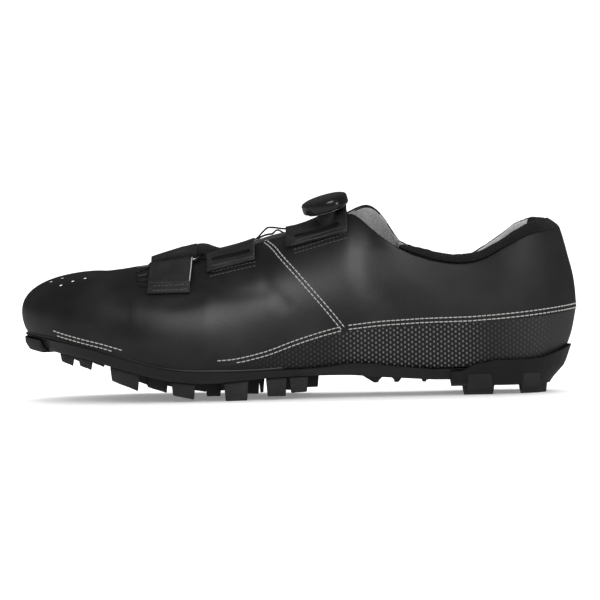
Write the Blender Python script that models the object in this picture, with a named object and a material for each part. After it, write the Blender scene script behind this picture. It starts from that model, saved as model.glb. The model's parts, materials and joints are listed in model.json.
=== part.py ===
"""Off-road cycling shoe for the left foot, with a stiff lugged sole, a forefoot strap and a lace dial.

The shoe stands on its lugs. X runs along the foot with the toe at -X, Y across it with the outer
side at -Y, and Z up. While it is modelled, "along" is the distance from the back of the heel towards
the toe as a share of LENGTH, and the finished pieces are then centred on the origin.

The last is a closed ring of ribs. Each rib starts on the feather line, where upper and sole meet,
and climbs over the side of the foot to the middle line, the throat's edge or the collar. The ribs
stand square across the foot and turn in a fan around the toe and the heel.
"""
import math
from collections import namedtuple

import bmesh
import bpy
from mathutils import Vector

MM = 0.001

# Driving sizes of the last
LENGTH = 285.0 * MM
BALL_WIDTH = 100.0 * MM
INSTEP_HEIGHT = 80.0 * MM
COLLAR_HEIGHT = 84.0 * MM
SOLE_HEIGHT = 15.0 * MM
TOE_SPRING = 19.0 * MM
THROAT_WIDTH = 25.0 * MM

# Walls and clearances
UPPER_WALL = 2.0 * MM
PANEL_STEP = 0.5 * MM
GAP = 0.3 * MM
INSOLE_THICKNESS = 3.0 * MM
TONGUE_THICKNESS = 3.2 * MM
TONGUE_OVERLAP = 8.0 * MM
PAD_THICKNESS = 8.0 * MM
PAD_RISE = 5.0 * MM
PAD_DEPTH = 14.0 * MM
PAD_FRONT = 0.335
PAD_TAPER = 0.05

# Sole
RIM_THICKNESS = 0.9 * MM
EDGE_RISE = 2.0 * MM
HEEL_SKIN = 0.9 * MM
HEEL_BASE_HEIGHT = 4.7 * MM
LUG_DRAFT = 0.8 * MM
MEDIAL_STAGGER = 0.020
BUMPER_SKIN = 1.6 * MM
BUMPER_DROP = 1.2 * MM
BUMPER_REACH = 4.0 * MM
BUMPER_TURN = 0.34
TOOTH_ROOT = 1.5 * MM
TOOTH_WIDTH = 0.42
CLEAT_SEAT_LENGTH = 50.0 * MM
CLEAT_SEAT_WIDTH = 36.0 * MM
CLEAT_SEAT_DEPTH = 1.0 * MM
CLEAT_RECESS = 0.6 * MM
CLEAT_SLOT_LENGTH = 34.0 * MM
CLEAT_SLOT_WIDTH = 6.0 * MM
CLEAT_SLOT_SPACING = 14.0 * MM
CLEAT_ALONG = 0.672

# Straps, guides, dial and wire
STRAP_THICKNESS = 4.8 * MM
STRAP_TAIL_THICKNESS = 1.8 * MM
FLAP_THICKNESS = 1.5 * MM
FLAP_LENGTH = 12.0 * MM
FLAP_HALF_WIDTH = 7.0 * MM
TAB_THICKNESS = 3.2 * MM
GUIDE_THICKNESS = 3.4 * MM
GUIDE_HEM = 1.1 * MM
RING_WIRE = 1.6 * MM
WIRE_DIAMETER = 1.1 * MM
WIRE_OFFSET = GAP + GUIDE_THICKNESS / 2
WIRE_LAP = 2.4 * MM
GUIDE_EDGE_LAP = 0.2 * MM
DIAL_STRAP_THICKNESS = 2.0 * MM
DIAL_DIAMETER = 24.0 * MM
DIAL_HEIGHT = 5.8 * MM
DIAL_DOME = 1.2 * MM
DIAL_BASE_DIAMETER = 15.5 * MM
DIAL_BASE_HEIGHT = 3.8 * MM
DIAL_PITCH = math.radians(15.5)
DIAL_ROLL = math.radians(7.0)
DIAL_ALONG = 0.444
DIAL_SIDE = 12.5 * MM
DIAL_GRIPS = 24

# Where the ribs stand. Between the two fans a station is a share of LENGTH.
TOE_CENTRE = 0.84
HEEL_CENTRE = 0.12
THROAT_FRONT = 0.80
COLLAR_FRONT = 0.405
TOE_FAN = 8
HEEL_FAN = 6
STATIONS = (0.82, 0.80, 0.796, 0.785, 0.765, 0.74, 0.71, 0.68, 0.65, 0.62, 0.59, 0.56, 0.53,
            0.50, 0.47, 0.44, 0.42, 0.405, 0.39, 0.37, 0.345, 0.32, 0.29, 0.26, 0.23, 0.20, 0.175, 0.15)
LATERAL = -1
MEDIAL = 1

# Half widths at the widest height, as shares of BALL_WIDTH, between the two fans
Outline = namedtuple("Outline", "along lateral medial")
OUTLINE = (
    Outline(0.12, 0.345, 0.340),
    Outline(0.20, 0.345, 0.335),
    Outline(0.30, 0.340, 0.305),
    Outline(0.40, 0.355, 0.300),
    Outline(0.50, 0.395, 0.335),
    Outline(0.60, 0.455, 0.405),
    Outline(0.68, 0.490, 0.470),
    Outline(0.74, 0.500, 0.500),
    Outline(0.80, 0.485, 0.500),
    Outline(0.84, 0.465, 0.480),
)

# Reach of the fans from their centres, as shares of the reach straight ahead. Turn is 0 straight
# ahead or straight back, and 1 square across the foot.
Fan = namedtuple("Fan", "turn lateral medial")
TOE_REACH = (
    Fan(0.00, 1.000, 1.000),
    Fan(0.25, 0.968, 1.030),
    Fan(0.50, 0.955, 1.062),
    Fan(0.75, 0.978, 1.062),
    Fan(1.00, 1.020, 1.053),
)
HEEL_REACH = (
    Fan(0.00, 1.000, 1.000),
    Fan(0.50, 1.000, 0.995),
    Fan(1.00, 1.009, 0.994),
)

# Heights of the rib. Widest and crown are shares of INSTEP_HEIGHT above the feather line, the
# handles shape the curve between them, and tuck is how far the feather line lies inside the widest
# line, as a share of BALL_WIDTH.
Body = namedtuple("Body", "along widest crown shoulder roof tuck_lateral tuck_medial")
BODY = (
    Body(0.00, 0.350, 0.900, 0.50, 0.40, 0.082, 0.082),
    Body(0.12, 0.310, 0.900, 0.50, 0.40, 0.065, 0.072),
    Body(0.25, 0.270, 0.650, 0.50, 0.40, 0.055, 0.085),
    Body(0.35, 0.230, 0.860, 0.50, 0.52, 0.050, 0.100),
    Body(0.405, 0.215, 1.034, 0.52, 0.60, 0.050, 0.095),
    Body(0.46, 0.200, 0.938, 0.52, 0.60, 0.048, 0.085),
    Body(0.50, 0.190, 0.886, 0.52, 0.60, 0.045, 0.075),
    Body(0.541, 0.180, 0.861, 0.52, 0.59, 0.040, 0.065),
    Body(0.575, 0.175, 0.829, 0.52, 0.58, 0.036, 0.055),
    Body(0.604, 0.172, 0.791, 0.52, 0.57, 0.034, 0.048),
    Body(0.649, 0.168, 0.744, 0.53, 0.56, 0.031, 0.040),
    Body(0.691, 0.166, 0.708, 0.54, 0.56, 0.030, 0.034),
    Body(0.74, 0.166, 0.664, 0.55, 0.57, 0.030, 0.030),
    Body(0.798, 0.170, 0.585, 0.57, 0.61, 0.030, 0.030),
    Body(0.84, 0.170, 0.526, 0.57, 0.64, 0.032, 0.032),
    Body(0.90, 0.168, 0.468, 0.57, 0.66, 0.036, 0.036),
    Body(0.95, 0.166, 0.440, 0.57, 0.66, 0.040, 0.040),
    Body(1.00, 0.166, 0.415, 0.57, 0.66, 0.042, 0.042),
)

# The collar's edge: half widths as shares of BALL_WIDTH, height as a share of COLLAR_HEIGHT, the
# inner side's extra height, and how far the last handle leans out, as a share of BALL_WIDTH
Collar = namedtuple("Collar", "along lateral medial height rise lean")
COLLAR = (
    Collar(0.03, 0.245, 0.245, 1.000, 0.000, 0.050),
    Collar(0.06, 0.248, 0.248, 1.000, 0.004, 0.050),
    Collar(0.10, 0.258, 0.255, 0.962, 0.012, 0.048),
    Collar(0.128, 0.263, 0.260, 0.904, 0.018, 0.045),
    Collar(0.155, 0.268, 0.263, 0.851, -0.004, 0.042),
    Collar(0.182, 0.272, 0.266, 0.811, -0.020, 0.040),
    Collar(0.209, 0.275, 0.268, 0.799, -0.030, 0.038),
    Collar(0.236, 0.277, 0.269, 0.807, -0.033, 0.038),
    Collar(0.263, 0.276, 0.268, 0.828, -0.033, 0.040),
    Collar(0.290, 0.271, 0.263, 0.858, -0.030, 0.045),
    Collar(0.317, 0.262, 0.254, 0.898, -0.007, 0.050),
    Collar(0.343, 0.248, 0.240, 0.955, 0.067, 0.055),
    Collar(0.370, 0.225, 0.220, 1.032, 0.138, 0.062),
    Collar(0.405, 0.180, 0.178, 1.122, 0.080, 0.072),
    Collar(0.440, 0.155, 0.155, 1.085, 0.010, 0.078),
)

# Throat's half width as a share of half THROAT_WIDTH
Throat = namedtuple("Throat", "along width")
THROAT = (
    Throat(0.405, 1.00),
    Throat(0.50, 0.95),
    Throat(0.60, 0.85),
    Throat(0.70, 0.72),
    Throat(0.765, 0.60),
    Throat(0.785, 0.50),
    Throat(0.796, 0.28),
    Throat(0.80, 0.00),
)

# The seam that parts the smooth leather from the panel below it, as shares of INSTEP_HEIGHT above
# the feather line. Step is 1 where the leather lies over the panel and 0 where it is flush.
Seam = namedtuple("Seam", "along height step")
SEAM = (
    Seam(0.00, 0.356, 1.0),
    Seam(0.067, 0.331, 1.0),
    Seam(0.139, 0.306, 1.0),
    Seam(0.229, 0.296, 1.0),
    Seam(0.319, 0.271, 1.0),
    Seam(0.418, 0.238, 1.0),
    Seam(0.499, 0.164, 1.0),
    Seam(0.572, 0.084, 1.0),
    Seam(0.62, 0.050, 0.4),
    Seam(0.66, 0.046, 0.0),
    Seam(0.75, 0.045, 0.0),
    Seam(0.814, 0.045, 0.0),
    Seam(0.877, 0.045, 0.0),
    Seam(1.00, 0.046, 0.0),
)

# Sole heights: feather line and underside as shares of SOLE_HEIGHT, plus a share of TOE_SPRING
Sole = namedtuple("Sole", "along feather under spring")
SOLE = (
    Sole(0.00, 1.13, 0.60, 0.00),
    Sole(0.12, 1.03, 0.60, 0.00),
    Sole(0.235, 0.95, 0.54, 0.00),
    Sole(0.300, 0.96, 0.60, 0.00),
    Sole(0.350, 0.99, 0.66, 0.00),
    Sole(0.417, 1.01, 0.76, 0.00),
    Sole(0.486, 1.00, 0.78, 0.00),
    Sole(0.581, 0.97, 0.72, 0.00),
    Sole(0.635, 0.96, 0.63, 0.00),
    Sole(0.690, 0.96, 0.60, 0.02),
    Sole(0.730, 0.96, 0.60, 0.09),
    Sole(0.800, 0.96, 0.60, 0.34),
    Sole(0.839, 0.96, 0.60, 0.51),
    Sole(0.864, 0.96, 0.60, 0.63),
    Sole(0.900, 0.96, 0.60, 0.77),
    Sole(0.933, 0.96, 0.60, 0.87),
    Sole(0.960, 0.97, 0.61, 0.94),
    Sole(1.00, 1.00, 0.64, 1.00),
)

# Where the shell's rim stops standing around the upper, and where it ends below it
RIM_REAR = 0.275
RIM_END = 0.245

# The sole shell's rim over the feather line and its side's taper, as shares of SOLE_HEIGHT
Rim = namedtuple("Rim", "along rise taper")
RIM = (
    Rim(0.00, 0.040, 0.24),
    Rim(0.12, 0.040, 0.20),
    Rim(0.25, 0.050, 0.16),
    Rim(0.30, 0.060, 0.20),
    Rim(0.334, 0.110, 0.26),
    Rim(0.384, 0.200, 0.30),
    Rim(0.417, 0.200, 0.28),
    Rim(0.45, 0.110, 0.20),
    Rim(0.50, 0.060, 0.12),
    Rim(0.60, 0.060, 0.08),
    Rim(0.80, 0.060, 0.08),
    Rim(0.93, 0.080, 0.10),
    Rim(1.00, 0.110, 0.12),
)

# The rubber heel's upper edge over the feather line, as a share of SOLE_HEIGHT
HeelEdge = namedtuple("HeelEdge", "along rise")
HEEL_FRONT = 0.23
HEEL_EDGE = (
    HeelEdge(0.00, 0.52),
    HeelEdge(0.034, 0.32),
    HeelEdge(0.054, 0.22),
    HeelEdge(0.101, 0.18),
    HeelEdge(0.147, 0.22),
    HeelEdge(0.167, 0.18),
    HeelEdge(0.181, 0.12),
    HeelEdge(0.211, 0.10),
    HeelEdge(0.240, 0.09),
)

# Forefoot lugs, in pairs: front and rear end, inner and outer side as shares of the sole's half
# width there, and how far the foot of the lug lies below the underside at its front and rear end
Lug = namedtuple("Lug", "name front rear inner outer drop_front drop_rear")
FOREFOOT_LUGS = (
    Lug("toe_stud", 0.930, 0.904, 0.30, 0.88, 4.4 * MM, 5.2 * MM),
    Lug("toe_block", 0.897, 0.871, 0.42, 0.92, 4.4 * MM, 4.8 * MM),
    Lug("front_block", 0.840, 0.788, 0.52, 0.95, 7.4 * MM, 8.6 * MM),
    Lug("front_inner_block", 0.777, 0.737, 0.46, 0.66, 6.4 * MM, 7.0 * MM),
    Lug("ball_block", 0.731, 0.688, 0.58, 0.96, 7.2 * MM, 8.2 * MM),
    Lug("ball_inner_stud", 0.671, 0.641, 0.48, 0.62, 7.4 * MM, 7.6 * MM),
    Lug("rear_inner_bar", 0.575, 0.564, 0.30, 0.54, 8.0 * MM, 8.0 * MM),
    Lug("middle_block", 0.562, 0.524, 0.58, 0.96, 9.3 * MM, 9.9 * MM),
    Lug("waist_block", 0.520, 0.486, 0.50, 0.96, 8.5 * MM, 8.2 * MM),
)
GROUND_LUG = Lug("ground_block", 0.637, 0.593, 0.58, 0.96, 0.0, 0.0)

# Lugs of the rubber heel, standing on the floor, in the same columns without a drop
HEEL_LUGS = (
    Lug("front", 0.210, 0.152, 0.34, 0.92, 0.0, 0.0),
    Lug("rear", 0.108, 0.056, 0.30, 0.80, 0.0, 0.0),
)

# Cross teeth under the arch: place along the foot and height below the underside
Tooth = namedtuple("Tooth", "along width drop")
ARCH_TEETH = (
    Tooth(0.364, 5.0 * MM, 3.2 * MM),
    Tooth(0.328, 4.6 * MM, 2.4 * MM),
    Tooth(0.278, 4.2 * MM, 1.6 * MM),
)

# Guides: front and rear end, heights of the lower edge at both ends as shares of INSTEP_HEIGHT,
# and the side they lie on
Guide = namedtuple("Guide", "name side front rear low_front low_rear")
GUIDES = (
    Guide("lateral_lower_guide", LATERAL, 0.664, 0.578, 0.812, 0.885),
    Guide("medial_lower_guide", MEDIAL, 0.664, 0.578, 0.812, 0.885),
    Guide("medial_upper_guide", MEDIAL, 0.520, 0.440, 0.955, 1.020),
)
DIAL_STRAP = Guide("dial_strap", LATERAL, 0.522, 0.412, 0.955, 1.045)
DIAL_STRAP_REACH = 2.0 * MM

# Forefoot strap and its anchor tab
STRAP_FRONT = 0.764
STRAP_REAR = 0.682
TAB_LOW = 0.690
TAB_SEWN = 0.745
TAB_HIGH_FRONT = 0.840
TAB_HIGH_REAR = 0.880
STRAP_LOW_MEDIAL = 0.560

# Shares of a rib's upper half between the tab's fold and the strap's, and from a fold to the ring
FOLD_GAP = 0.015
RING_LAP = 0.034


def smooth(rows, along, column):
    """Value of a table's column at a share of the length, on a curve that never overshoots a row."""
    values = [getattr(row, column) for row in rows]
    places = [row[0] for row in rows]
    if along <= places[0]:
        return values[0]
    if along >= places[-1]:
        return values[-1]
    slopes = [(values[k + 1] - values[k]) / (places[k + 1] - places[k]) for k in range(len(rows) - 1)]
    tangents = [0.0]
    for before, after in zip(slopes, slopes[1:]):
        level = before * after <= 0.0
        tangents.append(0.0 if level else 2.0 * before * after / (before + after))
    tangents.append(0.0)
    tangents[0] = slopes[0]
    tangents[-1] = slopes[-1]
    k = max(i for i, place in enumerate(places) if place <= along)
    width = places[k + 1] - places[k]
    t = (along - places[k]) / width
    return (values[k] * (1 + 2 * t) * (1 - t) ** 2 + tangents[k] * width * t * (1 - t) ** 2
            + values[k + 1] * t * t * (3 - 2 * t) - tangents[k + 1] * width * t * t * (1 - t))


def feather_height(along):
    """Height of the feather line above the floor."""
    return SOLE_HEIGHT * smooth(SOLE, along, "feather") + TOE_SPRING * smooth(SOLE, along, "spring")


def under_height(along):
    """Height of the shell's underside above the floor."""
    return SOLE_HEIGHT * smooth(SOLE, along, "under") + TOE_SPRING * smooth(SOLE, along, "spring")


def bezier(points, t):
    """Point and direction on a cubic curve, in the rib's own plane of reach and height."""
    a, b, c, d = points
    s = 1.0 - t
    place = a * s ** 3 + b * 3 * s * s * t + c * 3 * s * t * t + d * t ** 3
    along = (b - a) * 3 * s * s + (c - b) * 6 * s * t + (d - c) * 3 * t * t
    return place, along


def split(points, t):
    """The part of a cubic curve that ends at t."""
    a, b, c, d = points
    ab, bc, cd = a.lerp(b, t), b.lerp(c, t), c.lerp(d, t)
    abc, bcd = ab.lerp(bc, t), bc.lerp(cd, t)
    return [a, ab, abc, abc.lerp(bcd, t)]


def solve(function, low, high):
    """Where a steadily changing function of t crosses zero between low and high."""
    rising = function(high) > function(low)
    for _ in range(40):
        middle = (low + high) / 2
        if (function(middle) > 0) == rising:
            high = middle
        else:
            low = middle
    return (low + high) / 2


class Rib:
    """One rib of the last, in a vertical plane through the middle line or a fan's centre."""

    def __init__(self, along, side, turn=1.0, fan=0):
        """Turn is 0 on the fan's middle and 1 square across. Fan is 1 at the toe and -1 at the heel."""
        self.along = along
        self.side = side
        self.fan = fan
        column = "lateral" if side == LATERAL else "medial"
        angle = turn * math.pi / 2
        self.ahead = fan * math.cos(angle)
        self.across = side * math.sin(angle)
        if fan > 0:
            self.wide = (1.0 - TOE_CENTRE) * LENGTH * smooth(TOE_REACH, turn, column)
        elif fan < 0:
            self.wide = HEEL_CENTRE * LENGTH * smooth(HEEL_REACH, turn, column)
        else:
            self.wide = BALL_WIDTH * smooth(OUTLINE, along, column)
        self.reached = self.along_at(self.wide)
        tuck = BALL_WIDTH * smooth(BODY, self.reached, "tuck_" + column)
        self.foot = self.wide - tuck
        self.feather = feather_height(self.along_at(self.foot))
        self.widest = self.feather + INSTEP_HEIGHT * smooth(BODY, self.reached, "widest")
        self.closed = along >= THROAT_FRONT - 1e-6
        self.lower = self.lower_curve(tuck)
        self.upper = self.upper_curve(column)

    def along_at(self, reach):
        """Share of the length at a distance from the rib's inner end."""
        return self.along + self.ahead * reach / LENGTH

    def lower_curve(self, tuck):
        """From the feather line out to the widest height."""
        rise = self.widest - self.feather
        return [Vector((self.foot, self.feather)),
                Vector((self.foot + 0.66 * tuck, self.feather + 0.25 * rise)),
                Vector((self.wide, self.widest - 0.45 * rise)),
                Vector((self.wide, self.widest))]

    def full_curve(self):
        """From the widest height to the middle line, as if throat and collar were closed."""
        top = feather_height(self.along) + INSTEP_HEIGHT * smooth(BODY, self.along, "crown")
        shoulder = smooth(BODY, self.reached, "shoulder")
        roof = smooth(BODY, self.along, "roof")
        return [Vector((self.wide, self.widest)),
                Vector((self.wide, self.widest + shoulder * (top - self.widest))),
                Vector((roof * self.wide, top)),
                Vector((0.0, top))]

    def collar_curve(self, column):
        """From the widest height to the collar's edge."""
        reach = BALL_WIDTH * smooth(COLLAR, self.along, column)
        if self.fan < 0:
            back = BALL_WIDTH * smooth(COLLAR, 0.0, column)
            reach += (back - reach) * abs(self.ahead)
        place = self.along_at(reach)
        height = COLLAR_HEIGHT * smooth(COLLAR, place, "height")
        if self.side == MEDIAL:
            height += COLLAR_HEIGHT * smooth(COLLAR, place, "rise") * abs(self.across)
        rise = height - self.widest
        lean = BALL_WIDTH * smooth(COLLAR, place, "lean")
        return [Vector((self.wide, self.widest)),
                Vector((self.wide, self.widest + 0.38 * rise)),
                Vector((reach + lean, height - 0.28 * rise)),
                Vector((reach, height))]

    def upper_curve(self, column):
        """From the widest height to the edge that this rib ends on."""
        full = self.full_curve()
        if self.closed:
            return full
        blend_front, blend_rear = COLLAR_FRONT + 0.005, COLLAR_FRONT - 0.060
        share = min(max((self.along - blend_rear) / (blend_front - blend_rear), 0.0), 1.0)
        share = share * share * (3 - 2 * share)
        width = THROAT_WIDTH / 2 * smooth(THROAT, self.along, "width")
        throat = split(full, solve(lambda t: bezier(full, t)[0].x - width, 0.0, 1.0))
        if share >= 1.0:
            return throat
        collar = self.collar_curve(column)
        return [c.lerp(t, share) for c, t in zip(collar, throat)]

    def flat(self, v, offset=0.0, whole=False):
        """Reach and height at v: 0 on the feather line, 1 at the widest height, 2 on the upper edge."""
        upper = self.full_curve() if whole else self.upper
        place, heading = bezier(self.lower, v) if v < 1.0 else bezier(upper, v - 1.0)
        heading.normalize()
        place = place + Vector((heading.y, -heading.x)) * offset
        if v >= 2.0 and (whole or self.closed):
            place.x = 0.0
        return place

    def v_at_height(self, height, whole=False):
        """Where on the rib a height above the floor is reached."""
        if height >= self.flat(2.0, whole=whole).y:
            return 2.0
        if height <= self.feather:
            return 0.0
        return solve(lambda v: self.flat(v, whole=whole).y - height, 0.0, 2.0)

    def v_at_reach(self, reach, offset=0.0):
        """Where on the whole rib, above its widest height, a distance from the middle is reached."""
        return solve(lambda v: self.flat(v, offset, whole=True).x - reach, 1.0, 2.0)

    def place(self, flat):
        """A point of the rib's plane in the shoe's frame."""
        return Vector((-(self.along * LENGTH + self.ahead * flat.x), self.across * flat.x, flat.y))

    def point(self, v, offset=0.0, whole=False):
        """A point on the rib, moved outwards by the offset."""
        return self.place(self.flat(v, offset, whole))


def rib_side(side):
    """The ribs of one side, from the toe to the heel, without the two on the middle line."""
    toe = [Rib(TOE_CENTRE, side, k / TOE_FAN, 1) for k in range(1, TOE_FAN + 1)]
    middle = [Rib(along, side) for along in STATIONS]
    heel = [Rib(HEEL_CENTRE, side, k / HEEL_FAN, -1) for k in range(HEEL_FAN, 0, -1)]
    return toe + middle + heel


def rib_ring():
    """All the ribs, round the shoe from the toe's tip along the outer side."""
    toe_tip = Rib(TOE_CENTRE, LATERAL, 0.0, 1)
    heel_back = Rib(HEEL_CENTRE, LATERAL, 0.0, -1)
    return [toe_tip] + rib_side(LATERAL) + [heel_back] + rib_side(MEDIAL)[::-1]


def make_material(name, colour, roughness, metallic=0.0):
    """A plain material from a linear colour."""
    material = bpy.data.materials.new(name)
    material.use_nodes = True
    shader = material.node_tree.nodes["Principled BSDF"]
    shader.inputs["Base Color"].default_value = (*colour, 1.0)
    shader.inputs["Roughness"].default_value = roughness
    shader.inputs["Metallic"].default_value = metallic
    return material


def make_object(name, mesh, material, sharp=math.radians(35)):
    """Puts a finished bmesh into the scene as a named object."""
    bmesh.ops.remove_doubles(mesh, verts=mesh.verts, dist=0.01 * MM)
    bmesh.ops.recalc_face_normals(mesh, faces=mesh.faces)
    data = bpy.data.meshes.new(name)
    mesh.to_mesh(data)
    mesh.free()
    data.materials.append(material)
    data.shade_smooth()
    data.set_sharp_from_angle(angle=sharp)
    piece = bpy.data.objects.new(name, data)
    bpy.context.scene.collection.objects.link(piece)
    return piece


def skin(mesh, rings, loop=False, skipped=None, caps=True):
    """Faces between rings of equal length. Each ring is a closed outline.

    Skipped tells for a ring and a point whether the strip that starts there is left open, and caps
    close both ends of a row of rings that isn't a loop.
    """
    rows = [[mesh.verts.new(point) for point in ring] for ring in rings]
    size = len(rings[0])
    count = len(rows) if loop else len(rows) - 1
    for i in range(count):
        here, after = rows[i], rows[(i + 1) % len(rows)]
        for j in range(size):
            if skipped and skipped(i, j):
                continue
            mesh.faces.new((here[j], here[(j + 1) % size], after[(j + 1) % size], after[j]))
    if caps and not loop:
        mesh.faces.new(rows[0])
        mesh.faces.new(rows[-1])


def spread(first, last, count):
    """Evenly spaced values from first to last."""
    return [first + (last - first) * k / (count - 1) for k in range(count)]


def seam_place(rib):
    """Where the seam crosses a rib, and how deep the panel below it lies."""
    height = rib.feather + INSTEP_HEIGHT * smooth(SEAM, rib.reached, "height")
    return rib.v_at_height(height), PANEL_STEP * smooth(SEAM, rib.reached, "step")


def build_upper(ribs, material):
    """The hollow upper: leather over the foot, a step down to the panel, open at throat and collar."""
    below, above, inside = 3, 12, 14
    step_width = 0.012
    rings = []
    for rib in ribs:
        seam, depth = seam_place(rib)
        outer = [rib.point(v, -depth) for v in spread(0.0, seam - step_width, below)]
        outer += [rib.point(v) for v in spread(seam + step_width, 2.0, above)]
        inner = [rib.point(v, -UPPER_WALL) for v in spread(2.0, 0.0, inside)]
        inner[-1].z = outer[0].z
        rings.append(outer + inner)
    edge = below + above - 1
    size = len(ribs)

    def shut(i, j):
        return j == edge and ribs[i].closed and ribs[(i + 1) % size].closed

    mesh = bmesh.new()
    skin(mesh, rings, loop=True, skipped=shut)
    return make_object("upper", mesh, material)


def rim_flats(rib):
    """The shell's rim on a rib, from the floor's outer end over the rim's top to its outer foot.

    In front of RIM_REAR the rim stands around the upper. It then lies level with the floor, and under
    the rubber heel it ends below the upper's wall.
    """
    floor = rib.feather - GAP
    if rib.reached > RIM_REAR:
        top = rib.v_at_height(rib.feather + SOLE_HEIGHT * smooth(RIM, rib.reached, "rise"))
        return [Vector((rib.foot + GAP, floor)), rib.flat(top, GAP), rib.flat(top, GAP + RIM_THICKNESS),
                Vector((rib.foot + GAP + RIM_THICKNESS, rib.feather))]
    start, width = rib.foot + GAP, RIM_THICKNESS
    if rib.reached <= RIM_END:
        start, width = rib.foot - 0.8 * UPPER_WALL, 0.8 * UPPER_WALL - GAP
    return [Vector((start, floor)), Vector((start + width / 3, floor)),
            Vector((start + 2 * width / 3, floor)), Vector((start + width, floor - GAP))]


def shell_side(rib):
    """Flat points down the shell's side, from the feather line's height to the underside."""
    top = rim_flats(rib)[-1]
    corner = top.x - SOLE_HEIGHT * smooth(RIM, rib.reached, "taper")
    inset = corner - EDGE_RISE
    return [top,
            Vector((corner, under_height(rib.along_at(corner)) + EDGE_RISE)),
            Vector((inset, under_height(rib.along_at(inset))))]


def level_points(rib, reach, height, count):
    """Points from the rib's inner end to a reach, on a surface that only changes along the foot."""
    return [Vector((r, height(rib.along_at(r)))) for r in spread(0.0, reach, count)]


def build_shell(ribs, material):
    """The stiff sole: floor under the foot, a rim around the upper, cleat seat and arch teeth."""
    across = 4
    rings = []
    for rib in ribs:
        rim = rim_flats(rib)[:-1]
        floor = level_points(rib, rim[0].x, lambda along: feather_height(along) - GAP, across)[:-1]
        side = shell_side(rib)
        under = level_points(rib, side[-1].x, under_height, across)[-2::-1]
        rings.append([rib.place(flat) for flat in floor + rim + side + under])
    last = len(rings[0]) - 1
    mesh = bmesh.new()
    skin(mesh, rings, loop=True, skipped=lambda i, j: j == last)
    shell = make_object("sole_shell", mesh, material)
    for tooth in ARCH_TEETH:
        join(shell, arch_tooth(tooth), "UNION")
    join(shell, cleat_seat_cutter(), "DIFFERENCE")
    for side in (LATERAL, MEDIAL):
        join(shell, cleat_slot_cutter(side), "DIFFERENCE")
    return shell


def join(piece, tool, operation):
    """Unites a tool with a piece, or cuts it out, and hides the tool."""
    modifier = piece.modifiers.new(operation.title() + "_" + tool.name, "BOOLEAN")
    modifier.operation = operation
    modifier.solver = "EXACT"
    modifier.use_self = operation == "UNION"
    modifier.object = tool
    tool.hide_render = True
    tool.display_type = "WIRE"


def block(name, near, far, material=None):
    """A plain box between two corners."""
    mesh = bmesh.new()
    xs, ys, zs = zip(near, far)
    rings = [[(x, ys[0], zs[0]), (x, ys[1], zs[0]), (x, ys[1], zs[1]), (x, ys[0], zs[1])] for x in xs]
    skin(mesh, rings)
    return make_object(name, mesh, material or bpy.data.materials["sole_shell_gloss"])


def arch_tooth(tooth):
    """A cross rib under the arch with a narrow foot."""
    centre = -tooth.along * LENGTH
    foot = under_height(tooth.along) - tooth.drop
    root = under_height(tooth.along) + TOOTH_ROOT
    half = BALL_WIDTH * TOOTH_WIDTH / 2
    top, tip = tooth.width / 2, tooth.width / 5
    mesh = bmesh.new()
    rings = []
    for y in (-half, half):
        foot_y = y - math.copysign(LUG_DRAFT, y)
        rings.append([(centre - top, y, root), (centre + top, y, root),
                      (centre + tip, foot_y, foot), (centre - tip, foot_y, foot)])
    skin(mesh, rings)
    return make_object("tooth_tool", mesh, bpy.data.materials["sole_shell_gloss"])


def cleat_seat_height():
    """Height of the flat seat that the cleat is bolted against."""
    lowest = min(under_height(CLEAT_ALONG + share * CLEAT_SEAT_LENGTH / LENGTH) for share in (-0.5, 0.0, 0.5))
    return lowest + CLEAT_SEAT_DEPTH


def cleat_seat_cutter():
    """A recess that follows the underside, with a flat seat in its middle, under the ball of the foot."""
    seat, half = cleat_seat_height(), CLEAT_SEAT_WIDTH / 2
    rings = []
    for share in spread(-0.5, 0.5, 9):
        along = CLEAT_ALONG - share * CLEAT_SEAT_LENGTH / LENGTH
        x, top = -along * LENGTH, max(seat, under_height(along) + CLEAT_RECESS)
        rings.append([(x, -half, -SOLE_HEIGHT), (x, half, -SOLE_HEIGHT), (x, half, top), (x, -half, top)])
    mesh = bmesh.new()
    skin(mesh, rings)
    return make_object("cleat_seat_tool", mesh, bpy.data.materials["sole_shell_gloss"])


def cleat_slot_cutter(side):
    """One of the two long slots for the cleat's bolts, through the shell."""
    centre = -CLEAT_ALONG * LENGTH
    middle = side * CLEAT_SLOT_SPACING / 2
    half_length, half_width = CLEAT_SLOT_LENGTH / 2, CLEAT_SLOT_WIDTH / 2
    return block("cleat_slot_tool", (centre - half_length, middle - half_width, -SOLE_HEIGHT),
                 (centre + half_length, middle + half_width, 2 * SOLE_HEIGHT))


def build_insole(ribs, material):
    """The loose insole on the shell's floor, inside the upper."""
    across = 3
    rings = []
    for rib in ribs:
        reach = rib.foot - UPPER_WALL - 2 * GAP
        top = level_points(rib, reach, lambda along: feather_height(along) + INSOLE_THICKNESS, across)
        under = level_points(rib, reach, feather_height, across)[::-1]
        rings.append([rib.place(flat) for flat in top + under])
    last = len(rings[0]) - 1
    mesh = bmesh.new()
    skin(mesh, rings, loop=True, skipped=lambda i, j: j == last)
    return make_object("insole", mesh, material)


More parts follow.
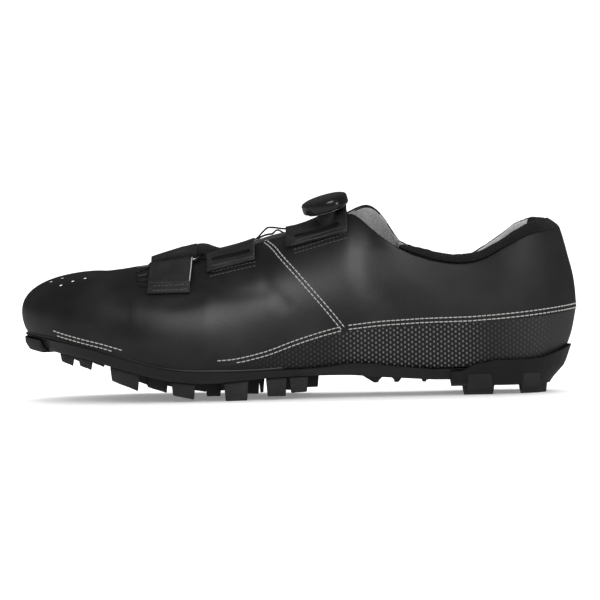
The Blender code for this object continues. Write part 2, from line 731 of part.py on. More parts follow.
def build_heel(material):
    """The rubber heel: a cup around the shell's rear end, with four lugs on the floor."""
    across = 3
    stations = [HEEL_FRONT] + [along for along in STATIONS if along < HEEL_FRONT - 0.01]
    lateral = [Rib(along, LATERAL) for along in stations]
    fan = [Rib(HEEL_CENTRE, LATERAL, k / HEEL_FAN, -1) for k in range(HEEL_FAN, -1, -1)]
    fan += [Rib(HEEL_CENTRE, MEDIAL, k / HEEL_FAN, -1) for k in range(1, HEEL_FAN + 1)]
    medial = [Rib(along, MEDIAL) for along in stations][::-1]
    rings = []
    for rib in lateral + fan + medial:
        edge = rib.v_at_height(rib.feather + SOLE_HEIGHT * smooth(HEEL_EDGE, rib.reached, "rise"))
        side, corner, inset = shell_side(rib)
        seat = level_points(rib, inset.x, lambda along: under_height(along) - 1.4 * GAP, across)
        inner = [corner + Vector((1.2 * GAP, -0.6 * GAP)), side + Vector((GAP, 0.0)),
                 rib.flat(edge, GAP)]
        outer = [rib.flat(edge, GAP + 0.7 * HEEL_SKIN),
                 side + Vector((GAP + HEEL_SKIN, 0.0)),
                 corner + Vector((GAP + 1.2 * HEEL_SKIN, -0.5 * GAP)),
                 Vector((corner.x - 1.2 * EDGE_RISE, HEEL_BASE_HEIGHT))]
        base = level_points(rib, outer[-1].x, lambda along: HEEL_BASE_HEIGHT, across)[-2::-1]
        rings.append([rib.place(flat) for flat in seat + inner + outer + base])
    last = len(rings[0]) - 1
    mesh = bmesh.new()
    skin(mesh, rings, skipped=lambda i, j: j == last)
    heel = make_object("heel_tread", mesh, material)
    for lug in HEEL_LUGS:
        for side in (LATERAL, MEDIAL):
            tool = build_lug(lug, side, material, lambda along: HEEL_BASE_HEIGHT + 1.0 * MM,
                             (0.0, 0.0))
            join(heel, tool, "UNION")
    return heel


def sole_half_width(along, side):
    """Half width of the flat underside at a place along the foot, in the fans too."""
    if along > TOE_CENTRE:
        centre, fan = TOE_CENTRE, 1
    elif along < HEEL_CENTRE:
        centre, fan = HEEL_CENTRE, -1
    else:
        return shell_side(Rib(along, side))[-1].x
    distance = abs(along - centre) * LENGTH

    def short(turn):
        rib = Rib(centre, side, turn, fan)
        return abs(rib.ahead) * shell_side(rib)[-1].x - distance

    rib = Rib(centre, side, solve(short, 0.0, 1.0), fan)
    return abs(rib.across) * shell_side(rib)[-1].x


def build_lug(lug, side, material, root, feet):
    """A tapered lug under the sole. Its root follows a height along the foot."""
    lengths = spread(lug.front, lug.rear, 4)
    rings = []
    for k, along in enumerate(lengths):
        half = sole_half_width(along, side)
        share = k / (len(lengths) - 1)
        foot = feet[0] + (feet[1] - feet[0]) * share
        pinch = LUG_DRAFT * (1 if k == 0 else -1 if k == len(lengths) - 1 else 0)
        x, foot_x = -along * LENGTH, -along * LENGTH + pinch
        inner, outer = side * lug.inner * half, side * lug.outer * half
        draft = side * LUG_DRAFT
        rings.append([(x, inner, root(along)), (x, outer, root(along)),
                      (foot_x, outer - draft, foot), (foot_x, inner + draft, foot)])
    mesh = bmesh.new()
    skin(mesh, rings)
    name = ("lateral_" if side == LATERAL else "medial_") + lug.name
    return make_object(name, mesh, material, sharp=math.radians(25))


def build_forefoot_lugs(material):
    """Rows of lugs along both edges of the forefoot, clear of the cleat seat, the inner row further back."""
    def root(along):
        return under_height(along) - GAP

    for side in (LATERAL, MEDIAL):
        shift = MEDIAL_STAGGER if side == MEDIAL else 0.0
        for lug in FOREFOOT_LUGS:
            lug = lug._replace(front=lug.front - shift, rear=lug.rear - shift)
            feet = (under_height(lug.front) - lug.drop_front, under_height(lug.rear) - lug.drop_rear)
            build_lug(lug, side, material, root, feet)
        ground = GROUND_LUG._replace(front=GROUND_LUG.front - shift, rear=GROUND_LUG.rear - shift)
        build_lug(ground, side, material, root, (0.0, 0.0))


def build_toe_bumper(material):
    """A rubber lip round the toe's tip, up the shell's side and under its front."""
    turns = spread(BUMPER_TURN, 0.0, 5)
    ribs = [Rib(TOE_CENTRE, LATERAL, turn, 1) for turn in turns]
    ribs += [Rib(TOE_CENTRE, MEDIAL, turn, 1) for turn in turns[-2::-1]]
    rings = []
    for rib in ribs:
        side, corner, inset = shell_side(rib)
        inner_end = inset.x - BUMPER_REACH
        under = under_height(rib.along_at(inner_end))
        foot = inset.y - BUMPER_DROP
        outline = [Vector((inner_end, under - 1.4 * GAP)), inset + Vector((0.0, -1.4 * GAP)),
                   corner + Vector((1.2 * GAP, -0.6 * GAP)), side + Vector((GAP, -2 * GAP)),
                   side + Vector((GAP + 0.6 * BUMPER_SKIN, -2 * GAP)),
                   Vector((side.x + GAP + BUMPER_SKIN / 2, corner.y)),
                   Vector((corner.x + BUMPER_SKIN / 2, foot)), Vector((inner_end + BUMPER_DROP / 2, foot))]
        rings.append([rib.place(flat) for flat in outline])
    mesh = bmesh.new()
    skin(mesh, rings)
    return make_object("toe_bumper", mesh, material)


def build_collar_pad(material):
    """The rolled padding inside the collar's edge, from one side round the heel to the other."""
    stations = [along for along in STATIONS if along < PAD_FRONT]
    fan = [Rib(HEEL_CENTRE, LATERAL, k / HEEL_FAN, -1) for k in range(HEEL_FAN, -1, -1)]
    fan += [Rib(HEEL_CENTRE, MEDIAL, k / HEEL_FAN, -1) for k in range(1, HEEL_FAN + 1)]
    ribs = [Rib(along, LATERAL) for along in stations] + fan
    ribs += [Rib(along, MEDIAL) for along in stations][::-1]
    rings = []
    for rib in ribs:
        front = max(stations)
        share = min(1.0, 0.45 + (front - rib.along) / PAD_TAPER)
        thickness, rise, depth = PAD_THICKNESS * share, PAD_RISE * share, PAD_DEPTH * share
        edge = rib.flat(2.0)
        inside = rib.flat(2.0, -UPPER_WALL - 2 * GAP)
        low = rib.flat(rib.v_at_height(edge.y - depth), -UPPER_WALL - 2 * GAP)
        middle = rib.flat(rib.v_at_height(edge.y - depth / 2), -UPPER_WALL - 2 * GAP)
        crest = edge.x - 0.55 * thickness
        outline = [low, middle, Vector((inside.x, edge.y - 0.1 * rise)),
                   Vector((inside.x, edge.y + 0.25 * rise + GAP)),
                   Vector((edge.x - GAP, edge.y + 0.30 * rise + GAP)),
                   Vector((edge.x - 0.16 * thickness, edge.y + 0.78 * rise)),
                   Vector((crest, edge.y + rise)),
                   Vector((edge.x - 0.95 * thickness, edge.y + 0.72 * rise)),
                   Vector((edge.x - 1.16 * thickness, edge.y - 0.15 * rise)),
                   Vector((edge.x - 1.08 * thickness, edge.y - 0.5 * depth)),
                   Vector((low.x - 0.35 * thickness, low.y))]
        rings.append([rib.place(flat) for flat in outline])
    mesh = bmesh.new()
    skin(mesh, rings)
    return make_object("collar_pad", mesh, material)


def build_tongue(material):
    """The tongue under the throat, tucked below both edges."""
    front, rear = THROAT_FRONT + 0.02, COLLAR_FRONT + 0.006
    stations = [front] + [along for along in STATIONS if rear < along < front] + [rear]
    outer_offset = -UPPER_WALL - 2 * GAP
    inner_offset = outer_offset - TONGUE_THICKNESS
    mesh = bmesh.new()
    for side in (LATERAL, MEDIAL):
        rings = []
        for along in stations:
            rib = Rib(along, side)
            half = THROAT_WIDTH / 2 * max(smooth(THROAT, along, "width"), 0.4) + TONGUE_OVERLAP
            steps = spread(rib.v_at_reach(half), 2.0, 6)
            top = [rib.point(v, outer_offset, whole=True) for v in steps]
            under = [rib.point(v, inner_offset, whole=True) for v in steps[:0:-1]]
            rings.append(top + under)
        skin(mesh, rings, skipped=lambda i, j: j == 5)
    return make_object("tongue", mesh, material)


def overlay(name, stations, outline, material):
    """A piece that lies on the upper. Outline gives a closed row of points for a station."""
    mesh = bmesh.new()
    skin(mesh, [outline(along) for along in stations])
    return make_object(name, mesh, material)


def guide_outline(guide, along, reach):
    """Closed outline of a folded guide: a thin hem low on the side, a thick fold at the throat."""
    share = (guide.front - along) / (guide.front - guide.rear)
    rib = Rib(along, guide.side)
    low = INSTEP_HEIGHT * (guide.low_front + (guide.low_rear - guide.low_front) * share)
    start = rib.v_at_height(low, whole=True)
    steps = spread(start, rib.v_at_reach(reach), 6)
    bulge = (0.0, 0.45, 0.85, 1.0, 1.0, 0.55)
    outer = [rib.point(v, GAP + GUIDE_HEM + (GUIDE_THICKNESS - GUIDE_HEM) * b, whole=True)
             for v, b in zip(steps, bulge)]
    inner = [rib.point(v, GAP, whole=True) for v in steps[::-1]]
    return outer + inner


def throat_reach(along, lap):
    """Distance from the middle line of a point that lies a lap outside the throat's edge."""
    return THROAT_WIDTH / 2 * smooth(THROAT, along, "width") + lap


def tube_rings(points, radius, sides, loop=False):
    """Rings of a round tube along a row of points."""
    rings = []
    count = len(points)
    for k, point in enumerate(points):
        before = points[(k - 1) % count] if loop or k > 0 else points[0]
        after = points[(k + 1) % count] if loop or k < count - 1 else points[-1]
        heading = (after - before).normalized()
        level = heading.cross(Vector((0, 0, 1)))
        if level.length < 0.05:
            level = Vector((0, 1, 0))
        level.normalize()
        up = level.cross(heading).normalized()
        rings.append([point + level * math.cos(2 * math.pi * j / sides) * radius
                      + up * math.sin(2 * math.pi * j / sides) * radius for j in range(sides)])
    return rings


def tube(name, points, radius, sides, material, loop=False):
    """A round tube with flat ends, or a closed one."""
    mesh = bmesh.new()
    skin(mesh, tube_rings(points, radius, sides, loop), loop=loop)
    return make_object(name, mesh, material)


def over_throat(along, across, offset):
    """A point over the closed form of the last, at a distance from the middle line."""
    rib = Rib(along, LATERAL if across < 0 else MEDIAL)
    return rib.point(rib.v_at_reach(abs(across), offset), offset, whole=True)


def catmull(points, per_span):
    """Points on a smooth curve through the given ones."""
    result = []
    ends = [points[0]] + list(points) + [points[-1]]
    for a, b, c, d in zip(ends, ends[1:], ends[2:], ends[3:]):
        for k in range(per_span):
            t = k / per_span
            result.append(0.5 * ((2 * b) + (c - a) * t + (2 * a - 5 * b + 4 * c - d) * t * t
                                 + (3 * b - a - 3 * c + d) * t ** 3))
    result.append(points[-1])
    return result


# The wire's way, chosen by hand: share of the length, side, lap outside the throat's edge or the
# distance inside it, and height over the last
Way = namedtuple("Way", "along side lap lift")
WIRE_WAY = (
    Way(0.448, MEDIAL, -9.5 * MM, 4.2 * MM),
    Way(0.437, MEDIAL, -3.0 * MM, 2.6 * MM),
    Way(0.438, MEDIAL, WIRE_LAP, WIRE_OFFSET),
    Way(0.460, MEDIAL, WIRE_LAP, WIRE_OFFSET),
    Way(0.500, MEDIAL, WIRE_LAP, WIRE_OFFSET),
    Way(0.524, MEDIAL, WIRE_LAP - 0.6 * MM, WIRE_OFFSET),
    Way(0.535, MEDIAL, -5.0 * MM, 1.6 * MM),
    Way(0.550, LATERAL, -8.0 * MM, 1.5 * MM),
    Way(0.565, LATERAL, -2.0 * MM, 1.7 * MM),
    Way(0.575, LATERAL, WIRE_LAP - 0.4 * MM, WIRE_OFFSET),
    Way(0.600, LATERAL, WIRE_LAP, WIRE_OFFSET),
    Way(0.640, LATERAL, WIRE_LAP, WIRE_OFFSET),
    Way(0.667, LATERAL, WIRE_LAP - 0.6 * MM, WIRE_OFFSET),
    Way(0.674, LATERAL, -4.0 * MM, 1.6 * MM),
    Way(0.674, MEDIAL, -4.0 * MM, 1.6 * MM),
    Way(0.667, MEDIAL, WIRE_LAP - 0.6 * MM, WIRE_OFFSET),
    Way(0.640, MEDIAL, WIRE_LAP, WIRE_OFFSET),
    Way(0.600, MEDIAL, WIRE_LAP, WIRE_OFFSET),
    Way(0.575, MEDIAL, WIRE_LAP - 0.4 * MM, WIRE_OFFSET),
    Way(0.565, MEDIAL, -3.0 * MM, 2.6 * MM),
    Way(0.548, MEDIAL, -9.0 * MM, 4.6 * MM),
    Way(0.528, LATERAL, -7.0 * MM, 4.8 * MM),
    Way(0.506, LATERAL, -3.4 * MM, 4.4 * MM),
)


def wire_points():
    """The wire's points over the throat and through the guides."""
    points = []
    for way in WIRE_WAY:
        across = way.side * max(throat_reach(way.along, way.lap), 0.4 * MM)
        points.append(over_throat(way.along, across, way.lift))
    return catmull(points, 3)


def build_guides(material):
    """The folded guides that the wire runs through, each cut by the wire's channel."""
    points = wire_points()
    channel = tube("wire_channel_tool", points, WIRE_DIAMETER / 2 + GAP, 6, material)
    for guide in GUIDES:
        stations = spread(guide.front, guide.rear, 6)
        piece = overlay(guide.name, stations,
                        lambda along, g=guide: guide_outline(g, along, throat_reach(along, GUIDE_EDGE_LAP)),
                        material)
        join(piece, channel, "DIFFERENCE")
    stations = spread(DIAL_STRAP.front, DIAL_STRAP.rear, 7)
    overlay(DIAL_STRAP.name, stations, dial_strap_outline, material)


def dial_strap_outline(along):
    """Closed outline of the strap that carries the dial, from the side to near the middle line."""
    share = (DIAL_STRAP.front - along) / (DIAL_STRAP.front - DIAL_STRAP.rear)
    rib = Rib(along, LATERAL)
    low = INSTEP_HEIGHT * (DIAL_STRAP.low_front + (DIAL_STRAP.low_rear - DIAL_STRAP.low_front) * share)
    steps = spread(rib.v_at_height(low, whole=True), rib.v_at_reach(DIAL_STRAP_REACH), 8)
    outer = [rib.point(v, GAP + DIAL_STRAP_THICKNESS, whole=True) for v in steps]
    inner = [rib.point(v, GAP, whole=True) for v in steps[::-1]]
    return outer + inner


def dial_frame():
    """Centre of the knob's lower plane, and its directions along, across and up."""
    seat = over_throat(DIAL_ALONG, -DIAL_SIDE, GAP + DIAL_STRAP_THICKNESS)
    long_way = Vector((-math.cos(DIAL_PITCH), 0.0, -math.sin(DIAL_PITCH)))
    level_up = Vector((-math.sin(DIAL_PITCH), 0.0, math.cos(DIAL_PITCH)))
    cross = Vector((0.0, math.cos(DIAL_ROLL), 0.0)) + level_up * math.sin(DIAL_ROLL)
    up = long_way.cross(cross)
    up = up if up.z > 0 else -up
    return seat + up * DIAL_BASE_HEIGHT, long_way, cross, up


def strap_surface(x, y, offset):
    """Height of the dial strap's top under a point."""
    along = -x / LENGTH
    rib = Rib(along, LATERAL)
    v = rib.v_at_reach(abs(y), offset)
    return rib.flat(v, offset, whole=True).y


def build_dial(base_material, knob_material):
    """The lace dial: a housing seated on its strap, and a ribbed knob."""
    centre, long_way, cross, up = dial_frame()
    sides = 20
    outline = [(math.cos(2 * math.pi * k / sides), math.sin(2 * math.pi * k / sides)) for k in range(sides)]
    offset = 2 * GAP + DIAL_STRAP_THICKNESS
    inner_edge = 0.1 * MM
    rings = []
    for share in (0.15, 0.4, 0.7, 1.0):
        foot = []
        for c, s in outline:
            place = centre + (long_way * c + cross * s) * DIAL_BASE_DIAMETER / 2 * share
            foot.append(Vector((place.x, place.y, strap_surface(place.x, min(place.y, -inner_edge), offset))))
        rings.append(foot)
    top = centre - up * GAP
    rings.append([top + (long_way * c + cross * s) * DIAL_BASE_DIAMETER / 2 for c, s in outline])
    mesh = bmesh.new()
    skin(mesh, rings)
    make_object("dial_base", mesh, base_material)
    levels = ((0.36, 0.0), (0.47, 0.10), (0.50, 0.20), (0.50, 0.88), (0.48, 1.0))
    rings = []
    count = DIAL_GRIPS * 2
    for share, height in levels:
        ring = []
        for k in range(count):
            grip = 0.97 if k % 2 and share >= 0.47 else 1.0
            angle = 2 * math.pi * k / count
            reach = DIAL_DIAMETER * share * grip
            ring.append(centre + (long_way * math.cos(angle) + cross * math.sin(angle)) * reach
                        + up * height * DIAL_HEIGHT)
        rings.append(ring)
    for share, height in ((0.42, 0.45), (0.27, 0.85), (0.10, 1.0)):
        ring = []
        for k in range(count):
            angle = 2 * math.pi * k / count
            heading = long_way * math.cos(angle) + cross * math.sin(angle)
            ring.append(centre + heading * DIAL_DIAMETER * share + up * (DIAL_HEIGHT + DIAL_DOME * height))
        rings.append(ring)
    mesh = bmesh.new()
    skin(mesh, rings)
    make_object("dial_knob", mesh, knob_material)


def tab_top(along):
    """Where the tab's fold lies on the outer rib."""
    share = (STRAP_FRONT - along) / (STRAP_FRONT - STRAP_REAR)
    height = INSTEP_HEIGHT * (TAB_HIGH_FRONT + (TAB_HIGH_REAR - TAB_HIGH_FRONT) * share)
    return Rib(along, LATERAL).v_at_height(height, whole=True)


def strap_path(rib_lateral, rib_medial, start, low_medial, offset_at, count):
    """Points over the foot from the strap's fold to the inner side's height, at offsets by share."""
    up = [(rib_lateral, v) for v in spread(start, 2.0, count)]
    down = [(rib_medial, v) for v in spread(2.0, rib_medial.v_at_height(low_medial, whole=True), count)][1:]
    whole = up + down
    return [rib.point(v, offset_at(k / (len(whole) - 1)), whole=True) for k, (rib, v) in enumerate(whole)]


def strap_outline(along):
    """Closed outline of the folded strap: both layers over the foot, one layer to its inner anchor."""
    lateral, medial = Rib(along, LATERAL), Rib(along, MEDIAL)
    fold = tab_top(along) + FOLD_GAP
    anchor = INSTEP_HEIGHT * STRAP_LOW_MEDIAL

    def thickness(share):
        if share < 0.58:
            return GAP + STRAP_THICKNESS
        tail = min((share - 0.58) / 0.08, 1.0)
        return GAP + STRAP_THICKNESS + (STRAP_TAIL_THICKNESS - STRAP_THICKNESS) * tail

    count = 7
    outer = strap_path(lateral, medial, fold, anchor, thickness, count)
    inner = strap_path(lateral, medial, fold, anchor, lambda share: GAP, count)
    return outer + inner[::-1]


def flap_outline(along):
    """Closed outline of the strap's loose end, level with its top and over the throat."""
    top = GAP + STRAP_THICKNESS - GAP
    points = []
    for offset, way in ((top, 1), (top - FLAP_THICKNESS, -1)):
        for across in spread(-way * FLAP_HALF_WIDTH, way * FLAP_HALF_WIDTH, 4):
            points.append(over_throat(along, across, offset))
    return points


def tab_outline(along):
    """Closed outline of the sewn tab that holds the ring on the outer side."""
    rib = Rib(along, LATERAL)
    low, sewn = (rib.v_at_height(INSTEP_HEIGHT * share, whole=True) for share in (TAB_LOW, TAB_SEWN))
    steps = [low, sewn - (sewn - low) / 10] + spread(sewn, tab_top(along), 4)
    bulge = (0.30, 0.35, 0.60, 0.75, 0.95, 1.0)
    outer = [rib.point(v, GAP + TAB_THICKNESS * b, whole=True) for v, b in zip(steps, bulge)]
    inner = [rib.point(v, GAP, whole=True) for v in steps[::-1]]
    return outer + inner


def ring_points():
    """The rectangular ring's centre line, through the tab's fold and the strap's fold."""
    offset = GAP + TAB_THICKNESS / 2
    margin = (RING_WIRE / 2 + GAP + 0.3 * MM) / LENGTH
    front, rear = STRAP_FRONT + margin, STRAP_REAR - margin

    def at(along, push):
        return Rib(along, LATERAL).point(tab_top(along) + push, offset, whole=True)

    lower = [at(along, -RING_LAP) for along in spread(front, rear, 5)]
    upper = [at(along, FOLD_GAP + RING_LAP) for along in spread(rear, front, 5)]
    return lower + upper


def build_forefoot_strap(strap_material, ring_material):
    """The strap over the forefoot, its sewn tab, and the ring that joins them."""
    points = ring_points()
    channel = tube("ring_channel_tool", points, RING_WIRE / 2 + GAP, 8, ring_material, loop=True)
    stations = spread(STRAP_FRONT, STRAP_REAR, 5)
    tab = overlay("strap_tab", stations, tab_outline, strap_material)
    strap = overlay("forefoot_strap", stations, strap_outline, strap_material)
    for piece in (tab, strap):
        join(piece, channel, "DIFFERENCE")
    rear = STRAP_REAR - FLAP_LENGTH / LENGTH
    stations = spread(STRAP_REAR + FLAP_THICKNESS / LENGTH, rear, 4)
    flap = overlay("strap_flap_tool", stations, flap_outline, strap_material)
    join(strap, flap, "UNION")
    tube("strap_ring", points, RING_WIRE / 2, 8, ring_material, loop=True)


def centre_all():
    """Moves everything so that the middle of the shoe's footprint box is the origin."""
    bpy.context.view_layer.update()
    graph = bpy.context.evaluated_depsgraph_get()
    low, high = Vector((9, 9, 9)), Vector((-9, -9, -9))
    for piece in bpy.context.scene.objects:
        if piece.hide_render:
            continue
        shape = piece.evaluated_get(graph).to_mesh()
        for vertex in shape.vertices:
            low = Vector(map(min, low, vertex.co))
            high = Vector(map(max, high, vertex.co))
    shift = Vector((-(low.x + high.x) / 2, -(low.y + high.y) / 2, -low.z))
    for piece in bpy.context.scene.objects:
        piece.location = shift


def main():
    """Builds the shoe, piece by piece."""
    for piece in list(bpy.data.objects):
        bpy.data.objects.remove(piece, do_unlink=True)
    leather = make_material("black_leather", (0.012, 0.012, 0.013), 0.42)
    gloss = make_material("sole_shell_gloss", (0.010, 0.010, 0.011), 0.25)
    rubber = make_material("tread_rubber", (0.020, 0.020, 0.021), 0.75)
    lining = make_material("black_lining", (0.014, 0.014, 0.014), 0.95)
    cushion = make_material("insole_foam", (0.20, 0.20, 0.20), 0.90)
    webbing = make_material("strap_webbing", (0.013, 0.013, 0.014), 0.60)
    plastic = make_material("dial_plastic", (0.013, 0.013, 0.014), 0.30)
    steel = make_material("ring_steel", (0.30, 0.30, 0.31), 0.30, 1.0)
    ribs = rib_ring()
    build_shell(ribs, gloss)
    build_heel(rubber)
    build_forefoot_lugs(rubber)
    build_toe_bumper(rubber)
    build_upper(ribs, leather)
    build_insole(ribs, cushion)
    build_tongue(lining)
    build_collar_pad(lining)
    build_forefoot_strap(webbing, steel)
    build_guides(webbing)
    build_dial(plastic, plastic)
    tube("lace_wire", wire_points(), WIRE_DIAMETER / 2, 6, steel)
    centre_all()


main()
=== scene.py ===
"""Looks of the off-road cycling shoe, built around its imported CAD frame.

The shoe stands on its lugs at the origin with the toe at -X and its outer side at -Y. Every class
below makes one sub-assembly: it copies or models its meshes in place and dresses them. Lengths are
in metres. Shares of the length run from the back of the heel to the tip of the toe.
"""
from __future__ import annotations

import json
import logging
import math
from dataclasses import dataclass, field
from enum import Enum
from typing import Callable, Iterable, Optional, Sequence, Union

import bpy
import numpy as np
from mathutils import Matrix, Vector
from mathutils.bvhtree import BVHTree

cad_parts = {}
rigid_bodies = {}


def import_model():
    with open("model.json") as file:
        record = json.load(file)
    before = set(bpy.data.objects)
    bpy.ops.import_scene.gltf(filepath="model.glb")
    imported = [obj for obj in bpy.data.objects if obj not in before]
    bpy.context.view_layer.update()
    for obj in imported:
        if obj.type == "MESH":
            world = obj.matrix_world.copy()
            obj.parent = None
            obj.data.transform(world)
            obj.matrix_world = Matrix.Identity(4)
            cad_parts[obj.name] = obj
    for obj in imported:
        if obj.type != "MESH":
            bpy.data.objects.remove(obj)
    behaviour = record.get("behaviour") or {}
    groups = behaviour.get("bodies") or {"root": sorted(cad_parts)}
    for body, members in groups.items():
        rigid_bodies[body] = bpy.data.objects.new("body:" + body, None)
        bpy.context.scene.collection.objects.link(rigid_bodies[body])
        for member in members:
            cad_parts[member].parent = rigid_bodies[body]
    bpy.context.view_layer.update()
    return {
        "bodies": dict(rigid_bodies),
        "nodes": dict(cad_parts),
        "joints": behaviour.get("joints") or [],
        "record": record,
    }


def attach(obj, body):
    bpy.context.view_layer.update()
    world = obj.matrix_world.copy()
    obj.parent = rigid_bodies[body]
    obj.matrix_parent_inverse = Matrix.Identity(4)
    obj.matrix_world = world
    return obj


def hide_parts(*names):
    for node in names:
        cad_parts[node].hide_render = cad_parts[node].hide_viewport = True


MM = 0.001
LENGTH = 285.0 * MM
HEEL_BACK = 142.5 * MM
HEEL_TURN = HEEL_BACK - 0.12 * LENGTH
BODY = "root"
LOG = logging.getLogger("shoe")

Colour = tuple[float, float, float]
Pair = tuple[float, float]
Line = list[tuple[Vector, Vector]]
Amount = Union[float, np.ndarray]
Input = Union["Value", bpy.types.NodeSocket, float, int, tuple, Vector]


class Side(Enum):
    """The two sides of the shoe, by the sign of Y."""

    OUTER = -1
    INNER = 1


class Turn(Enum):
    """Which way a fold in the leather goes."""

    TROUGH = -1
    RIDGE = 1


class Value:
    """A number in a shader that Python's operators work on."""

    def __init__(self, shader: "Shader", socket: bpy.types.NodeSocket) -> None:
        """Wraps an output socket of the shader's tree."""
        self.shader = shader
        self.socket = socket

    def maths(self, operation: str, *others: Input, clamp: bool = False) -> "Value":
        """Adds a Math node with this value first.

        Args:
            operation: The Math node's operation.
            others: The node's further inputs.
            clamp: Whether the result is held between 0 and 1.

        Returns:
            The node's result.
        """
        node = self.shader.node("ShaderNodeMath", {"operation": operation, "use_clamp": clamp},
                                dict(enumerate((self, *others))))
        return Value(self.shader, node.outputs[0])

    def __add__(self, other: Input) -> "Value":
        """This plus another."""
        return self.maths("ADD", other)

    __radd__ = __add__

    def __sub__(self, other: Input) -> "Value":
        """This less another."""
        return self.maths("SUBTRACT", other)

    def __rsub__(self, other: Input) -> "Value":
        """Another less this."""
        return self.maths("MULTIPLY_ADD", -1.0, other)

    def __mul__(self, other: Input) -> "Value":
        """This times another."""
        return self.maths("MULTIPLY", other)

    __rmul__ = __mul__

    def __truediv__(self, other: Input) -> "Value":
        """This over another."""
        return self.maths("DIVIDE", other)

    def step(self, low: float, high: float) -> "Value":
        """A soft step from 0 at low to 1 at high, or down where low is the greater."""
        node = self.shader.node("ShaderNodeMapRange", {"interpolation_type": "SMOOTHSTEP"},
                                {"Value": self, "From Min": low, "From Max": high})
        return Value(self.shader, node.outputs[0])

    def wave(self) -> "Value":
        """The sine of this."""
        return self.maths("SINE")

    def fraction(self) -> "Value":
        """What is left of this over its whole part."""
        return self.maths("FRACT")

    def floor(self) -> "Value":
        """The whole part of this."""
        return self.maths("FLOOR")


def fill(tree: bpy.types.NodeTree, socket: bpy.types.NodeSocket, value: Input) -> None:
    """Links a socket to a Value or an output, or sets its constant."""
    if isinstance(value, Value):
        value = value.socket
    if isinstance(value, bpy.types.NodeSocket):
        tree.links.new(value, socket)
    elif isinstance(value, tuple) and socket.type == "RGBA" and len(value) == 3:
        socket.default_value = (*value, 1.0)
    else:
        socket.default_value = value


def add_node(tree: bpy.types.NodeTree, kind: str, settings: Optional[dict] = None,
             inputs: Optional[dict] = None) -> bpy.types.Node:
    """Adds any node: its settings are made first, and then its sockets are filled or linked.

    Args:
        tree: The tree of a material or of the world.
        kind: The node's type.
        settings: Its properties by name.
        inputs: Values, outputs or constants by socket name or number.

    Returns:
        The new node.
    """
    node = tree.nodes.new(kind)
    for key, value in (settings or {}).items():
        setattr(node, key, value)
    for key, value in (inputs or {}).items():
        fill(tree, node.inputs[key], value)
    return node


class Shader:
    """A material with one principled surface, and the means to drive it."""

    def __init__(self, name: str, **constants: float) -> None:
        """Starts a material.

        Args:
            name: The material's name.
            constants: Values for the surface's sockets, with _ for a space.
        """
        self.material = bpy.data.materials.new(name)
        self.material.use_nodes = True
        self.tree = self.material.node_tree
        self.tree.nodes.clear()
        self.surface = self.node("ShaderNodeBsdfPrincipled")
        self.node("ShaderNodeOutputMaterial", {}, {"Surface": self.surface.outputs["BSDF"]})
        for key, value in constants.items():
            self.surface.inputs[key.replace("_", " ")].default_value = value

    def node(self, kind: str, settings: Optional[dict] = None, inputs: Optional[dict] = None) -> bpy.types.Node:
        """Adds a node to the material, as add_node does."""
        return add_node(self.tree, kind, settings, inputs)

    def drive(self, name: str, value: Input) -> None:
        """Feeds one of the surface's sockets."""
        fill(self.tree, self.surface.inputs[name], value)

    def place(self, scale: tuple = (1.0, 1.0, 1.0), turn: tuple = (0.0, 0.0, 0.0)) -> bpy.types.NodeSocket:
        """Object coordinates in metres, stretched and turned."""
        source = self.node("ShaderNodeTexCoord").outputs["Object"]
        return self.node("ShaderNodeMapping", {}, {"Vector": source, "Scale": scale, "Rotation": turn}).outputs[0]

    def along(self) -> tuple[Value, Value]:
        """The piece's own UV map: metres along and across the surface."""
        source = self.node("ShaderNodeTexCoord").outputs["UV"]
        parts = self.node("ShaderNodeSeparateXYZ", {}, {0: source})
        return Value(self, parts.outputs[0]), Value(self, parts.outputs[1])

    def axis(self, number: int) -> Value:
        """One of the object coordinates, in metres."""
        source = self.node("ShaderNodeTexCoord").outputs["Object"]
        return Value(self, self.node("ShaderNodeSeparateXYZ", {}, {0: source}).outputs[number])

    def noise(self, scale: float, detail: float = 3.0, rough: float = 0.5,
              place: Optional[bpy.types.NodeSocket] = None) -> Value:
        """Soft noise from 0 to 1.

        Args:
            scale: Cells to the metre.
            detail: Octaves of finer noise.
            rough: Strength of the finer octaves.
            place: Coordinates, or the object's own.

        Returns:
            The noise.
        """
        node = self.node("ShaderNodeTexNoise", {}, {"Vector": place or self.place(), "Scale": scale,
                                                    "Detail": detail, "Roughness": rough})
        return Value(self, node.outputs[0])

    def cells(self, scale: float) -> Value:
        """Distance to the nearest point of a pattern of cells, so many to the metre."""
        node = self.node("ShaderNodeTexVoronoi", {}, {"Vector": self.place(), "Scale": scale})
        return Value(self, node.outputs["Distance"])

    def blend(self, factor: Input, first: Input, second: Input) -> bpy.types.NodeSocket:
        """A colour between two colours."""
        node = self.node("ShaderNodeMix", {"data_type": "RGBA"}, {"Factor": factor, 6: first, 7: second})
        return node.outputs[2]

    def relief(self, height: Value, depth: float, under: Optional[bpy.types.NodeSocket] = None) -> bpy.types.NodeSocket:
        """A bump of a height from 0 to 1 that is a depth in metres.

        Args:
            height: The pattern.
            depth: How deep it is.
            under: The normal of a coarser bump.

        Returns:
            The bumped normal.
        """
        inputs = {"Height": height, "Distance": depth, "Strength": 1.0}
        if under:
            inputs["Normal"] = under
        return self.node("ShaderNodeBump", {}, inputs).outputs[0]


